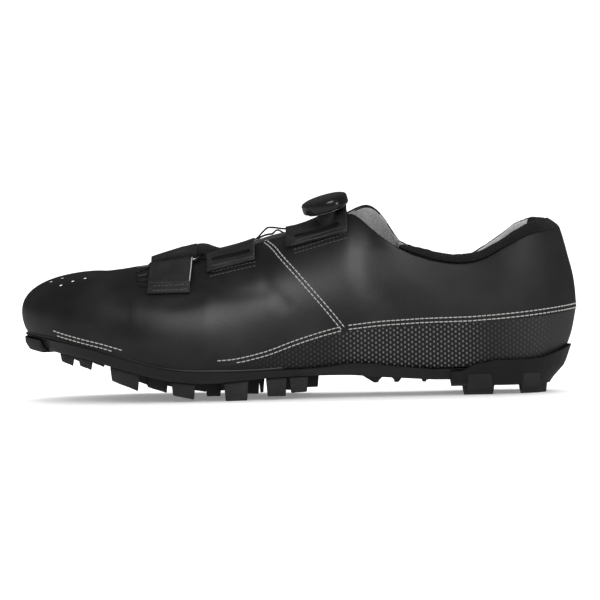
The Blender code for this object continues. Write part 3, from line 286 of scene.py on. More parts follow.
@dataclass(frozen=True)
class Leather:
    """Smooth coated synthetic leather with a fine pebbled grain."""

    name: str = "black_leather"
    colour: Colour = (0.0085, 0.0085, 0.0090)
    worn: Colour = (0.0145, 0.0145, 0.0150)
    gloss: float = 0.40
    grain: float = 0.030 * MM
    waves: float = 0.10 * MM
    heel: Pair = (0.030, 0.080)
    heel_dulled: float = 0.20
    coat: float = 0.10
    heel_coat_lost: float = 0.08

    def make(self) -> bpy.types.Material:
        """The leather's material."""
        shader = Shader(self.name, Coat_Roughness=0.32)
        patches = shader.noise(45.0, 3.0)
        fine = shader.noise(900.0, 3.0)
        pebbles = shader.cells(1500.0)
        shader.drive("Base Color", shader.blend(patches.step(0.35, 0.75), self.colour, self.worn))
        heel = shader.axis(0).step(*self.heel)
        shader.drive("Roughness", patches * 0.10 + fine * 0.06 + heel * self.heel_dulled + (self.gloss - 0.06))
        shader.drive("Coat Weight", self.coat - heel * self.heel_coat_lost)
        soft = shader.relief(shader.noise(70.0, 2.0), self.waves)
        shader.drive("Normal", shader.relief(pebbles * 0.7 + fine * 0.5, self.grain, soft))
        return shader.material


@dataclass(frozen=True)
class PanelCloth:
    """Coated mesh of the lower panel: staggered raised dots that fade out towards toe and heel."""

    name: str = "dotted_panel"
    ground: Colour = (0.0085, 0.0085, 0.0090)
    dot: Colour = (0.150, 0.150, 0.152)
    smooth: Colour = (0.024, 0.024, 0.0245)
    pitch: float = 3.7 * MM
    rise: float = 2.5 * MM
    dot_edge: Pair = (0.80 * MM, 0.20 * MM)
    bold_from: Pair = (0.012, 0.035)
    bold_to: Pair = (0.100, 0.080)
    faint_from: Pair = (-0.040, 0.0)
    faint_to: Pair = (0.135, 0.120)
    plain_heel: Pair = (0.085, 0.135)
    heel_ridges: tuple[float, ...] = (0.1267, 0.1283)
    depth: float = 0.16 * MM

    def make(self) -> bpy.types.Material:
        """The panel's material, on a UV map in metres."""
        shader = Shader(self.name, Specular_IOR_Level=0.5)
        across, up = shader.along()
        row = up / (self.rise / 2)
        shift = (row.floor() * 0.5).fraction()
        cell_u = (across / self.pitch + shift).fraction() - 0.5
        cell_v = row.fraction() - 0.5
        wide = cell_u * cell_u * (self.pitch ** 2) * 1.5
        tall = cell_v * cell_v * ((self.rise / 2) ** 2) * 0.5
        reach = (wide + tall).maths("SQRT")
        knob = reach.step(*self.dot_edge)
        place = shader.axis(0)
        bold = place.step(*self.bold_from) * place.step(*self.bold_to)
        faint = place.step(*self.faint_from) * place.step(*self.faint_to)
        uneven = shader.noise(700.0, 2.0)
        strength = knob * (bold * 0.75 + faint * 0.18) * (uneven * 1.2 + 0.4)
        ground = shader.blend(place.step(*self.plain_heel), self.ground, self.smooth)
        first, second = (place.step(x - 0.5 * MM, x - 0.1 * MM) * place.step(x + 0.5 * MM, x + 0.1 * MM)
                         for x in self.heel_ridges)
        shader.drive("Base Color", shader.blend(strength, ground, self.dot))
        shader.drive("Roughness", 0.46 - strength * 0.12 + uneven * 0.08)
        shader.drive("Normal", shader.relief(strength + uneven * 0.15 + first + second, self.depth))
        return shader.material


@dataclass(frozen=True)
class Cloth:
    """Knitted or woven cloth with a nap."""

    name: str
    # colour fills the knit's hollows as painted shade; light is the colour of the raised loops and pale patches.
    colour: Colour
    light: Colour
    threads: float = 1400.0
    depth: float = 0.12 * MM
    sheen: float = 0.25

    def make(self) -> bpy.types.Material:
        """The cloth's material."""
        shader = Shader(self.name, Sheen_Weight=self.sheen, Sheen_Roughness=0.5, Specular_IOR_Level=0.25)
        loops = shader.cells(self.threads)
        lint = shader.noise(self.threads * 1.4, 4.0, 0.7)
        patches = shader.noise(60.0, 2.0)
        # The colour follows the bump: painted shade in the hollows between loops, mixed with random lint and patch
        # tone.
        hollow_shade_and_tone = loops * 0.5 + lint * 0.5 + patches * 0.25 - 0.12
        shader.drive("Base Color", shader.blend(hollow_shade_and_tone.step(0.15, 0.85), self.colour, self.light))
        shader.drive("Roughness", 0.80 + lint * 0.18)
        shader.drive("Normal", shader.relief(loops + lint * 0.8, self.depth))
        return shader.material


@dataclass(frozen=True)
class Webbing:
    """Coated strap cloth with a faint weave."""

    name: str = "strap_cloth"
    colour: Colour = (0.012, 0.012, 0.0125)
    worn: Colour = (0.026, 0.026, 0.027)
    threads: float = 5200.0
    tilt: float = 0.30

    def make(self) -> bpy.types.Material:
        """The strap's material."""
        shader = Shader(self.name, Coat_Weight=0.05, Coat_Roughness=0.4)
        turned = shader.place(turn=(0.0, self.tilt, 0.0))
        parts = shader.node("ShaderNodeSeparateXYZ", {}, {0: turned})
        first, second = (Value(shader, parts.outputs[k]) * self.threads for k in (0, 2))
        weave = first.wave() * second.wave() * 0.5 + 0.5
        lint = shader.noise(1100.0, 3.0)
        patches = shader.noise(90.0, 2.0)
        shader.drive("Base Color", shader.blend((patches * 0.7 + lint * 0.4).step(0.35, 0.85), self.colour, self.worn))
        shader.drive("Roughness", 0.40 + lint * 0.16)
        shader.drive("Normal", shader.relief(weave * 0.6 + lint * 0.4, 0.05 * MM))
        return shader.material


@dataclass(frozen=True)
class Plastic:
    """Moulded plastic or rubber with fine tooling marks and light scuffs."""

    name: str
    colour: Colour
    worn: Colour
    gloss: float
    texture: float = 0.03 * MM
    scale: float = 1200.0
    coat: float = 0.0

    def make(self) -> bpy.types.Material:
        """The plastic's material."""
        shader = Shader(self.name, Coat_Roughness=0.12, Coat_Weight=self.coat)
        patches = shader.noise(80.0, 4.0)
        fine = shader.noise(self.scale, 4.0, 0.65)
        scuffs = shader.noise(420.0, 5.0, 0.7, shader.place((1.0, 1.0, 3.0)))
        worn = (patches * 0.6 + scuffs * 0.6).step(0.55, 0.80)
        shader.drive("Base Color", shader.blend(worn * 0.8, self.colour, self.worn))
        shader.drive("Roughness", (fine * 0.10 + worn * 0.12 + (self.gloss - 0.05)))
        shader.drive("Normal", shader.relief(fine + worn * 0.4, self.texture))
        return shader.material


@dataclass(frozen=True)
class Metal:
    """Drawn or brushed metal."""

    name: str
    colour: Colour = (0.42, 0.42, 0.43)
    rough: float = 0.30

    def make(self) -> bpy.types.Material:
        """The metal's material."""
        shader = Shader(self.name, Metallic=1.0)
        lines = shader.noise(2600.0, 2.0, 0.5, shader.place((0.15, 1.0, 1.0)))
        patches = shader.noise(180.0, 3.0)
        shader.drive("Base Color", shader.blend(patches, self.colour, tuple(c * 0.7 for c in self.colour)))
        shader.drive("Roughness", lines * 0.18 + (self.rough - 0.06))
        shader.drive("Normal", shader.relief(lines, 0.012 * MM))
        return shader.material


@dataclass(frozen=True)
class Thread:
    """Light twisted sewing thread, with painted shade in the grooves of its twist."""

    name: str = "pale_thread"
    colour: Colour = (0.52, 0.52, 0.50)
    # Colour of the twist's grooves: painted shade, mixed with random lint tone.
    hollow_shade_and_tone: Colour = (0.30, 0.30, 0.29)
    twist: float = 9000.0

    def make(self) -> bpy.types.Material:
        """The thread's material."""
        shader = Shader(self.name, Specular_IOR_Level=0.4, Sheen_Weight=0.1)
        lay = (shader.axis(0) * self.twist + shader.axis(2) * self.twist).wave() * 0.5 + 0.5
        lint = shader.noise(2600.0, 2.0)
        # The colour follows the twist's bump: painted shade in its grooves, mixed with random lint tone.
        shader.drive("Base Color", shader.blend((lay * 0.5 + lint * 0.5).step(0.2, 0.8), self.hollow_shade_and_tone, self.colour))
        shader.drive("Roughness", 0.55 + lint * 0.2)
        shader.drive("Normal", shader.relief(lay, 0.05 * MM))
        return shader.material


class Finishes:
    """All the finishes of the shoe, each made once."""

    def __init__(self) -> None:
        """Makes every material."""
        self.leather = Leather().make()
        self.panel = PanelCloth().make()
        self.lining = Cloth("grey_lining", (0.29, 0.29, 0.29),
                            (0.46, 0.46, 0.46), 1100.0, 0.10 * MM, 0.15).make()
        self.collar = Cloth("collar_knit", (0.0035, 0.0035, 0.004),
                            (0.0095, 0.0095, 0.010), 1300.0, 0.30 * MM, 0.03).make()
        self.tongue = Cloth("tongue_mesh", (0.008, 0.008, 0.0085),
                            (0.026, 0.026, 0.027), 900.0, 0.18 * MM, 0.10).make()
        self.footbed = Cloth("footbed_cloth", (0.035, 0.035, 0.037),
                             (0.080, 0.080, 0.082), 1500.0, 0.08 * MM, 0.10).make()
        self.strap = Webbing().make()
        # The hems are lighter than the strap cloth: a painted highlight along the rolled hems, with random scuff tone.
        self.painted_highlight_piping = Plastic("strap_piping_painted_highlight", (0.030, 0.030, 0.031), (0.055, 0.055, 0.056), 0.38).make()
        # Near-black colour for the recess of each slot: painted shade inside the slots.
        self.slot = Plastic("strap_slot_painted_shade", (0.003, 0.003, 0.003), (0.005, 0.005, 0.005), 0.7).make()
        self.pale = Cloth("pale_binding", (0.24, 0.24, 0.24), (0.40, 0.40, 0.39), 1800.0, 0.04 * MM, 0.1).make()
        self.shell = Plastic("sole_gloss", (0.0085, 0.0085, 0.009),
                             (0.012, 0.012, 0.0125), 0.34, 0.006 * MM, 700.0, 0.15).make()
        self.rubber = Plastic("tread_rubber", (0.016, 0.016, 0.0165),
                              (0.028, 0.028, 0.029), 0.58, 0.03 * MM, 1500.0).make()
        self.cup = Plastic("heel_rubber", (0.0065, 0.0065, 0.007),
                           (0.011, 0.011, 0.0115), 0.46, 0.02 * MM, 1500.0).make()
        self.dial = Plastic("dial_plastic", (0.008, 0.008, 0.0085),
                            (0.011, 0.011, 0.0115), 0.20, 0.002 * MM, 160.0, 0.5).make()
        self.steel = Metal("ring_steel", (0.50, 0.50, 0.51), 0.26).make()
        self.wire = Metal("lace_steel", (0.24, 0.24, 0.25), 0.30).make()
        self.silver = Cloth("silver_mesh", (0.60, 0.60, 0.61), (0.85, 0.85, 0.86), 1500.0, 0.06 * MM, 0.1).make()
        self.thread = Thread().make()
        self.dark_thread = Thread("grey_thread", (0.085, 0.085, 0.085), (0.040, 0.040, 0.040)).make()


def activate(piece: bpy.types.Object) -> None:
    """Deselects all, and selects and activates one piece."""
    bpy.ops.object.select_all(action="DESELECT")
    piece.select_set(True)
    bpy.context.view_layer.objects.active = piece


def edit(piece: bpy.types.Object, *steps: Callable[[], object]) -> None:
    """Runs mesh operators on the whole of a piece in edit mode."""
    activate(piece)
    bpy.ops.object.mode_set(mode="EDIT")
    for step in steps:
        bpy.ops.mesh.select_all(action="SELECT")
        step()
    bpy.ops.object.mode_set(mode="OBJECT")


def edit_part(piece: bpy.types.Object, parts: str, chosen: Callable[[object], bool],
              *steps: Callable[[], object]) -> None:
    """Runs mesh operators on some of a piece's faces or vertices.

    Args:
        piece: The piece.
        parts: "polygons" or "vertices".
        chosen: Whether a face or vertex is selected.
        steps: The operators, in order.
    """
    activate(piece)
    bpy.ops.object.mode_set(mode="EDIT")
    bpy.ops.mesh.select_all(action="DESELECT")
    bpy.ops.object.mode_set(mode="OBJECT")
    for part in getattr(piece.data, parts):
        part.select = chosen(part)
    bpy.ops.object.mode_set(mode="EDIT")
    for step in steps:
        step()
    bpy.ops.object.mode_set(mode="OBJECT")


def piece_from(name: str, points: list, faces: list) -> bpy.types.Object:
    """A piece from many copies of one modelled shape.

    Args:
        name: The piece's name.
        points: Every copy's points.
        faces: Every copy's faces, by the numbers of their points.

    Returns:
        The piece, at the origin.
    """
    mesh = bpy.data.meshes.new(name)
    mesh.from_pydata(points, [], faces)
    piece = bpy.data.objects.new(name, mesh)
    bpy.context.scene.collection.objects.link(piece)
    return piece


def finish_modifier(piece: bpy.types.Object, kind: str, **settings: object) -> None:
    """Adds a modifier to a piece and applies it."""
    activate(piece)
    modifier = piece.modifiers.new(kind.title(), kind)
    for key, value in settings.items():
        setattr(modifier, key, value)
    bpy.ops.object.modifier_apply(modifier=modifier.name)


def bevel(piece: bpy.types.Object, width: float, segments: int, degrees: float) -> None:
    """Rounds every edge of a piece that is sharper than an angle."""
    finish_modifier(piece, "BEVEL", width=width, segments=segments, limit_method="ANGLE",
                    angle_limit=math.radians(degrees))


def subdivide(piece: bpy.types.Object, levels: int, kind: str = "CATMULL_CLARK") -> None:
    """Subdivides a piece's faces, rounding it unless the kind is SIMPLE."""
    finish_modifier(piece, "SUBSURF", levels=levels, render_levels=levels, subdivision_type=kind)


def add_shape(operator: Callable, **settings: object) -> bpy.types.Object:
    """Adds one of Blender's primitives, with nothing else selected."""
    bpy.ops.object.select_all(action="DESELECT")
    operator(**settings)
    return bpy.context.active_object


def settle(piece: bpy.types.Object) -> bpy.types.Object:
    """Applies a piece's place, turn and size to its mesh."""
    activate(piece)
    bpy.ops.object.transform_apply(location=True, rotation=True, scale=True)
    return piece


def rename(piece: bpy.types.Object, name: str) -> bpy.types.Object:
    """Names a piece and its mesh."""
    piece.name = name
    piece.data.name = name
    return piece


def copy_node(nodes: dict, node: str, name: str) -> bpy.types.Object:
    """A welded copy of a CAD node's mesh, with its triangles paired into quads.

    Args:
        nodes: The frame's objects.
        node: The CAD node.
        name: The new piece's name.

    Returns:
        The copy, at the origin.
    """
    mesh = nodes[node].data.copy()
    mesh.materials.clear()
    piece = bpy.data.objects.new(name, mesh)
    mesh.name = name
    bpy.context.scene.collection.objects.link(piece)
    edit(piece, lambda: bpy.ops.mesh.remove_doubles(threshold=0.004 * MM),
         lambda: bpy.ops.mesh.tris_convert_to_quads(face_threshold=math.radians(50), shape_threshold=math.radians(75)))
    if mesh.has_custom_normals:
        activate(piece)
        bpy.ops.mesh.customdata_custom_splitnormals_clear()
    return piece


def crease(piece: bpy.types.Object, angle: float, strength: float) -> None:
    """Gives every edge sharper than an angle a subdivision crease."""
    mesh = piece.data
    normals = {}
    for polygon in mesh.polygons:
        for key in polygon.edge_keys:
            normals.setdefault(key, []).append(polygon.normal)
    attribute = mesh.attributes.get("crease_edge") or mesh.attributes.new("crease_edge", "FLOAT", "EDGE")
    limit = math.cos(angle)
    for edge in mesh.edges:
        pair = normals.get(tuple(sorted(edge.vertices)), ())
        sharp = len(pair) == 2 and pair[0].dot(pair[1]) < limit
        attribute.data[edge.index].value = strength if sharp else 0.0


def dress(piece: bpy.types.Object, *materials: bpy.types.Material, angle: Optional[float] = None) -> bpy.types.Object:
    """Gives a piece its materials and smooth shading.

    Args:
        piece: The piece.
        materials: Its materials by slot.
        angle: Edges sharper than this stay crisp.

    Returns:
        The piece.
    """
    piece.data.materials.clear()
    for material in materials:
        piece.data.materials.append(material)
    activate(piece)
    if angle is None:
        bpy.ops.object.shade_smooth()
    else:
        bpy.ops.object.shade_smooth_by_angle(angle=angle)
    return piece


def points_of(piece: bpy.types.Object) -> np.ndarray:
    """A piece's vertices as rows."""
    rows = np.empty(len(piece.data.vertices) * 3)
    piece.data.vertices.foreach_get("co", rows)
    return rows.reshape(-1, 3)


def normals_of(piece: bpy.types.Object) -> np.ndarray:
    """A piece's vertex normals as rows."""
    rows = np.empty(len(piece.data.vertices) * 3)
    piece.data.vertices.foreach_get("normal", rows)
    return rows.reshape(-1, 3)


def put_points(piece: bpy.types.Object, rows: np.ndarray) -> None:
    """Moves a piece's vertices."""
    piece.data.vertices.foreach_set("co", rows.ravel())
    piece.data.update()


def share_of(x: Amount) -> Amount:
    """Share of the shoe's length at an X."""
    return (HEEL_BACK - x) / LENGTH


def look_up(table: tuple[Pair, ...], at: Amount) -> Amount:
    """Reads a table of places and values, straight between its rows."""
    places, values = zip(*table)
    return np.interp(at, places, values)


def ramp(values: Amount, low: float, high: float) -> Amount:
    """0 up to low, 1 from high on and straight between, or falling where low is the greater."""
    return np.clip((values - low) / (high - low), 0.0, 1.0)


def ease(share: Amount) -> Amount:
    """Softens both ends of a ramp."""
    return share * share * (3.0 - 2.0 * share)


def curve_through(points: Sequence[Vector], step: float) -> list[Vector]:
    """Evenly spaced points on a smooth curve through the given ones."""
    ends = [points[0] * 2 - points[1], *points, points[-1] * 2 - points[-2]]
    dense = []
    for a, b, c, d in zip(ends, ends[1:], ends[2:], ends[3:]):
        for k in range(24):
            t = k / 24
            dense.append(0.5 * (2 * b + (c - a) * t + (2 * a - 5 * b + 4 * c - d) * t * t
                                + (3 * b - a - 3 * c + d) * t ** 3))
    dense.append(points[-1])
    rows = np.array(dense)
    reach = np.concatenate(([0.0], np.cumsum(np.linalg.norm(np.diff(rows, axis=0), axis=1))))
    count = max(2, round(reach[-1] / step) + 1)
    at = np.linspace(0.0, reach[-1], count)
    return [Vector(row) for row in np.column_stack([np.interp(at, reach, rows[:, k]) for k in range(3)])]


def tube(name: str, points: Sequence[Vector], radius: float, sides: int = 8, closed: bool = False) -> bpy.types.Object:
    """A round cord along points, as a mesh with closed ends.

    Args:
        name: The piece's name.
        points: Its centre line.
        radius: Its radius.
        sides: Its sides.
        closed: Whether its ends meet.

    Returns:
        The cord.
    """
    curve = bpy.data.curves.new(name, "CURVE")
    curve.dimensions = "3D"
    curve.bevel_depth = radius
    curve.bevel_resolution = max(0, (sides - 4) // 2)
    curve.use_fill_caps = not closed
    spline = curve.splines.new("POLY")
    spline.points.add(len(points) - 1)
    for knot, point in zip(spline.points, points):
        knot.co = (*point, 1.0)
    spline.use_cyclic_u = closed
    piece = bpy.data.objects.new(name, curve)
    bpy.context.scene.collection.objects.link(piece)
    activate(piece)
    bpy.ops.object.convert(target="MESH")
    piece = rename(bpy.context.active_object, name)
    edit(piece, lambda: bpy.ops.mesh.remove_doubles(threshold=0.001 * MM),
         lambda: bpy.ops.mesh.normals_make_consistent(inside=False))
    return piece


def unite(name: str, pieces: Sequence[bpy.types.Object]) -> bpy.types.Object:
    """Joins finished pieces into one mesh."""
    activate(pieces[0])
    for piece in pieces:
        piece.select_set(True)
    bpy.ops.object.join()
    return rename(bpy.context.active_object, name)


@dataclass
class Sight:
    """The camera: a long lens nearly level with the shoe's outer side."""

    elevation: float = math.radians(3.0)
    roll: float = math.radians(1.04)
    distance: float = 6.0
    width: float = 0.3076
    centre: tuple = (0.0005, 0.0, 0.0489)
    pixels: int = 600
    sensor: float = 36.0

    def __post_init__(self) -> None:
        """Works out the camera's directions and place."""
        level = Vector((1.0, 0.0, 0.0))
        self.forward = Vector((0.0, math.cos(self.elevation), -math.sin(self.elevation)))
        upright = level.cross(self.forward)
        self.right = level * math.cos(self.roll) - upright * math.sin(self.roll)
        self.up = level * math.sin(self.roll) + upright * math.cos(self.roll)
        self.eye = Vector(self.centre) - self.forward * self.distance

    def build(self) -> None:
        """Adds the camera and makes it the scene's."""
        lens = bpy.data.cameras.new("camera")
        lens.lens = self.sensor * self.distance / self.width
        lens.sensor_width = self.sensor
        camera = bpy.data.objects.new("camera", lens)
        bpy.context.scene.collection.objects.link(camera)
        turn = Matrix((self.right, self.up, -self.forward)).transposed()
        camera.matrix_world = Matrix.Translation(self.eye) @ turn.to_4x4()
        bpy.context.scene.camera = camera

    def ray(self, across: float, down: float) -> Vector:
        """Direction from the eye through a point of the picture, in its pixels."""
        size = self.width / self.pixels
        half = self.pixels / 2
        aim = self.forward * self.distance + self.right * (across - half) * size - self.up * (down - half) * size
        return aim.normalized()


class Skin:
    """A surface that other pieces are laid on."""

    def __init__(self, pieces: Iterable[bpy.types.Object], sight: Sight) -> None:
        """Reads the meshes that the surface is made of."""
        self.sight = sight
        points, faces = [], []
        for piece in pieces:
            start = len(points)
            points += [v.co.copy() for v in piece.data.vertices]
            faces += [[start + k for k in polygon.vertices] for polygon in piece.data.polygons]
        self.tree = BVHTree.FromPolygons(points, faces)

    def seen(self, across: float, down: float) -> tuple[Vector, Vector]:
        """Place and normal where the camera sees the surface at a point of the picture."""
        aim = self.sight.ray(across, down)
        place, normal, _, _ = self.tree.ray_cast(self.sight.eye, aim)
        if place is None:
            start = self.sight.eye + aim * self.sight.distance
            place, normal, _, _ = self.tree.find_nearest(start)
        return place, self.outward(place, normal)

    def beside(self, x: float, z: float, side: Side) -> tuple[Vector, Vector]:
        """Place and normal at a length and height on one side."""
        start = Vector((x, side.value * 0.2, z))
        place, normal, _, _ = self.tree.ray_cast(start, Vector((0.0, -side.value, 0.0)))
        if place is None:
            place, normal, _, _ = self.tree.find_nearest(Vector((x, side.value * 0.03, z)))
        return place, self.outward(place, normal)

    def around_heel(self, angle: float, z: float) -> tuple[Vector, Vector]:
        """Place and normal at a height on the heel, at an angle from the outer side."""
        aim = Vector((math.sin(angle), -math.cos(angle), 0.0))
        centre = Vector((HEEL_TURN, 0.0, z))
        place, normal, _, _ = self.tree.ray_cast(centre + aim * 0.2, -aim)
        if place is None:
            place, normal, _, _ = self.tree.find_nearest(centre + aim * 0.03)
        return place, self.outward(place, normal)

    @staticmethod
    def outward(place: Vector, normal: Vector) -> Vector:
        """The normal, turned away from the inside of the foot."""
        inside = Vector((min(max(place.x, -0.09), 0.105), 0.0, 0.030))
        return normal if normal.dot(place - inside) >= 0 else -normal

    def nearest(self, place: Vector) -> tuple[Vector, Vector]:
        """The nearest place and normal on the surface."""
        found, normal, _, _ = self.tree.find_nearest(place)
        return found, self.outward(found, normal)

    def slid(self, place: Vector, move: Vector) -> Vector:
        """A point moved along the surface at its own height over it."""
        below, up = self.nearest(place)
        after, turned = self.nearest(below + move)
        height = (place - below).dot(up)
        return after + turned * height + ((place - below) - up * height)

    def traced(self, points: Sequence[Pair], side: Side) -> list[Vector]:
        """A line of the picture on the outer side, or at the same lengths and heights on the inner."""
        places = [self.seen(*point)[0] for point in points]
        return places if side is Side.OUTER else [self.mirrored(place)[0] for place in places]

    def mirrored(self, place: Vector) -> tuple[Vector, Vector]:
        """Place and normal at the same length and height on the other side."""
        return self.beside(place.x, place.z, Side.INNER if place.y < 0 else Side.OUTER)


@dataclass
class Needle:
    """Sews rows of stitches onto surfaces and joins each set into one mesh."""

    length: float = 2.15 * MM
    pitch: float = 2.45 * MM
    width: float = 0.60 * MM
    rise: float = 0.16 * MM
    middle: float = 0.62
    tips: float = 0.19
    dip: float = 0.42

    def stitch(self) -> tuple[np.ndarray, list[tuple[int, ...]]]:
        """One stitch: a short thread with both ends pulled down into the leather.

        Returns:
            Its points along X with Z up, and its faces.
        """
        piece = settle(add_shape(bpy.ops.mesh.primitive_cylinder_add, vertices=6, radius=self.width / 2,
                                 depth=self.length * self.middle, rotation=(0.0, math.pi / 2, 0.0)))
        for end in (-1, 1):
            draw = {"value": (end * self.length * self.tips, 0.0, -self.width * self.dip)}
            edit_part(piece, "polygons", lambda polygon: polygon.normal.x * end > 0.9,
                      lambda: bpy.ops.mesh.extrude_region_move(TRANSFORM_OT_translate=draw),
                      lambda: bpy.ops.transform.resize(value=(1.0, 0.55, 0.45)))
        rows = points_of(piece)
        faces = [tuple(polygon.vertices) for polygon in piece.data.polygons]
        bpy.data.objects.remove(piece)
        return rows, faces

    def sew(self, name: str, rows: Iterable[Line], material: bpy.types.Material) -> bpy.types.Object:
        """Lays stitches end to end along rows of places and normals.

        Args:
            name: The piece's name.
            rows: Each row's places and normals, a pitch apart.
            material: The thread.

        Returns:
            All the stitches as one mesh.
        """
        shape, faces = self.stitch()
        points, shells = [], []
        for row in rows:
            for (here, up), (after, _) in zip(row, row[1:]):
                ahead = (after - here).normalized()
                across = up.cross(ahead).normalized()
                lift = ahead.cross(across)
                turn = np.array((ahead, across, lift))
                middle = np.array((here + after) / 2 + lift * self.rise)
                start = len(points)
                points.extend((shape @ turn + middle).tolist())
                shells.extend(tuple(k + start for k in face) for face in faces)
        piece = piece_from(name, points, shells)
        edit(piece, lambda: bpy.ops.mesh.normals_make_consistent(inside=False))
        return dress(piece, material)


class Shoe:
    """What all sub-assemblies share: the frame's nodes, the camera and the finishes."""

    def __init__(self, frame: dict, sight: Sight, finishes: Finishes) -> None:
        """Keeps the shared objects."""
        self.nodes = frame["nodes"]
        self.sight = sight
        self.finishes = finishes

    def keep(self, piece: bpy.types.Object, slot: str, *replaced: str) -> bpy.types.Object:
        """Hands a finished piece to the frame.

        Args:
            piece: The piece, at the origin.
            slot: The record's material slot; not used.
            replaced: CAD nodes that it stands for.

        Returns:
            The piece.
        """
        if replaced:
            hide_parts(*replaced)
        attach(piece, BODY)
        LOG.info("%s: %d faces", piece.name, len(piece.data.polygons))
        return piece


@dataclass
class Fold:
    """A soft fold in the leather along a line of the picture."""

    line: tuple[Pair, ...]
    depth: float
    width: float
    turn: Turn = Turn.TROUGH


@dataclass
class Upper:
    """The leather upper, its lower panel and its grey lining."""

    shoe: Shoe
    levels: int = 2
    fan_radius: float = 31.0 * MM
    seam: tuple[Pair, ...] = ((0.0, 0.356), (0.067, 0.331), (0.139, 0.306), (0.229, 0.296), (0.319, 0.271),
                              (0.418, 0.238), (0.499, 0.164), (0.572, 0.084), (0.62, 0.050), (1.0, 0.045))
    lowered: tuple[Pair, ...] = ((0.0, 3.0 * MM), (0.03, 2.8 * MM), (0.139, 1.5 * MM), (0.247, 0.4 * MM), (0.33, 0.0))
    lowered_reach: float = 9.0 * MM
    seam_unit: float = 80.0 * MM
    sole_line: tuple[Pair, ...] = ((0.0, 16.95 * MM), (0.12, 15.45 * MM), (0.235, 14.25 * MM), (0.35, 14.85 * MM),
                                   (0.417, 15.15 * MM), (0.581, 14.55 * MM), (0.69, 14.4 * MM))
    core_ends: Pair = (-98.0 * MM, 100.0 * MM)
    core: tuple[Pair, ...] = ((-140.0 * MM, 42.0 * MM), (-50.0 * MM, 30.0 * MM), (50.0 * MM, 36.0 * MM),
                              (140.0 * MM, 45.0 * MM))
    panel_end: float = 0.64
    inner_from: float = 2.0 * MM
    rim_depth: float = 9.0 * MM
    rim_rise: tuple[Pair, ...] = ((18.0 * MM, 0.0), (25.0 * MM, 1.0 * MM), (31.4 * MM, 3.4 * MM), (40.6 * MM, 4.4 * MM),
                                  (45.8 * MM, 4.4 * MM), (50.4 * MM, 2.2 * MM), (56.0 * MM, 0.0))
    heel_out: float = 1.6 * MM
    heel_behind: Pair = (108.0 * MM, 123.0 * MM)
    heel_above: Pair = (70.0 * MM, 84.0 * MM)
    even_span: Pair = (0.14, 0.66)
    even_margin: float = 5.0 * MM
    even_top: float = 76.0 * MM
    even_rounds: int = 30
    inner_folds: float = 0.7
    folds: tuple[Fold, ...] = (
        Fold(((262, 262), (268, 285), (285, 305)), 0.35 * MM, 5.0 * MM),
        Fold(((208, 283), (232, 292), (262, 292)), 0.45 * MM, 6.0 * MM),
        Fold(((150, 300), (175, 303), (200, 297)), 0.35 * MM, 5.0 * MM),
        Fold(((356, 262), (374, 284), (388, 300)), 0.14 * MM, 8.0 * MM),
        Fold(((396, 262), (410, 284), (428, 296)), 0.10 * MM, 8.0 * MM, Turn.RIDGE),
        Fold(((430, 268), (450, 285), (486, 292)), 0.16 * MM, 9.0 * MM),
        Fold(((104, 268), (112, 280), (116, 300)), 0.35 * MM, 6.0 * MM),
    )
    piece: bpy.types.Object = field(init=False)

    def build(self) -> None:
        """Copies the hollow upper, smooths it, and lays the folds in."""
        self.piece = copy_node(self.shoe.nodes, "upper", "upper_leather")
        self.lower_edge()
        self.shape_rims()
        crease(self.piece, math.radians(50), 0.45)
        subdivide(self.piece, self.levels)
        self.even_flank()
        self.lay_folds()
        self.map_surface()

    def even_flank(self) -> None:
        """Evens out the flank between waist and collar, sideways only, so that light runs over it softly."""
        outer = self.outer_faces()

        def on_flank(polygon: bpy.types.MeshPolygon) -> bool:
            """Whether a face is on the outer skin between the lower edge and the rim."""
            share = share_of(polygon.center.x)
            start, end = self.even_span
            low = self.edge_height(share) + self.even_margin
            return bool(outer[polygon.index]) and start < share < end and low < polygon.center.z < self.even_top

        edit_part(self.piece, "polygons", on_flank,
                  lambda: bpy.ops.mesh.vertices_smooth(factor=0.5, repeat=self.even_rounds, xaxis=False, yaxis=True,
                                                       zaxis=False))

    def edge_height(self, share: float) -> float:
        """Height of the leather's lower edge over the panel in the CAD solid."""
        return float(look_up(self.sole_line, share)) + self.seam_unit * float(look_up(self.seam, share))

    def lower_edge(self) -> None:
        """Draws the leather's edge down at the heel, to just under the stitching."""
        rows = points_of(self.piece)
        for row in rows:
            share = share_of(row[0])
            off = abs(row[2] - self.edge_height(share)) / self.lowered_reach
            row[2] -= float(look_up(self.lowered, share)) * max(0.0, 1.0 - off) ** 0.7
        put_points(self.piece, rows)

    def shape_rims(self) -> None:
        """Raises the inner side's rim beside the dial and draws the heel's rim back."""
        rows = points_of(self.piece)
        on_inner = rows[:, 1] > self.inner_from
        inner = rows[on_inner]
        stations = np.arange(0.0, 70.0 * MM, 3.0 * MM)
        tops = [inner[np.abs(inner[:, 0] - x) < 3.0 * MM][:, 2].max(initial=0.0) for x in stations]
        rim = ramp(rows[:, 2] - np.interp(rows[:, 0], stations, tops), -self.rim_depth, 0.0)
        rows[:, 2] += look_up(self.rim_rise, rows[:, 0]) * rim * on_inner
        rows[:, 0] += self.heel_out * ramp(rows[:, 0], *self.heel_behind) * ramp(rows[:, 2], *self.heel_above)
        put_points(self.piece, rows)

    def outer_faces(self) -> np.ndarray:
        """Which faces look out of the shoe."""
        mesh = self.piece.data
        count = len(mesh.polygons)
        centres, normals = np.empty(count * 3), np.empty(count * 3)
        mesh.polygons.foreach_get("center", centres)
        mesh.polygons.foreach_get("normal", normals)
        centres, normals = centres.reshape(-1, 3), normals.reshape(-1, 3)
        inside = centres.copy()
        inside[:, 0] = np.clip(centres[:, 0], *self.core_ends)
        inside[:, 1] = 0.0
        inside[:, 2] = look_up(self.core, centres[:, 0])
        return np.einsum("ij,ij->i", normals, centres - inside) > 0

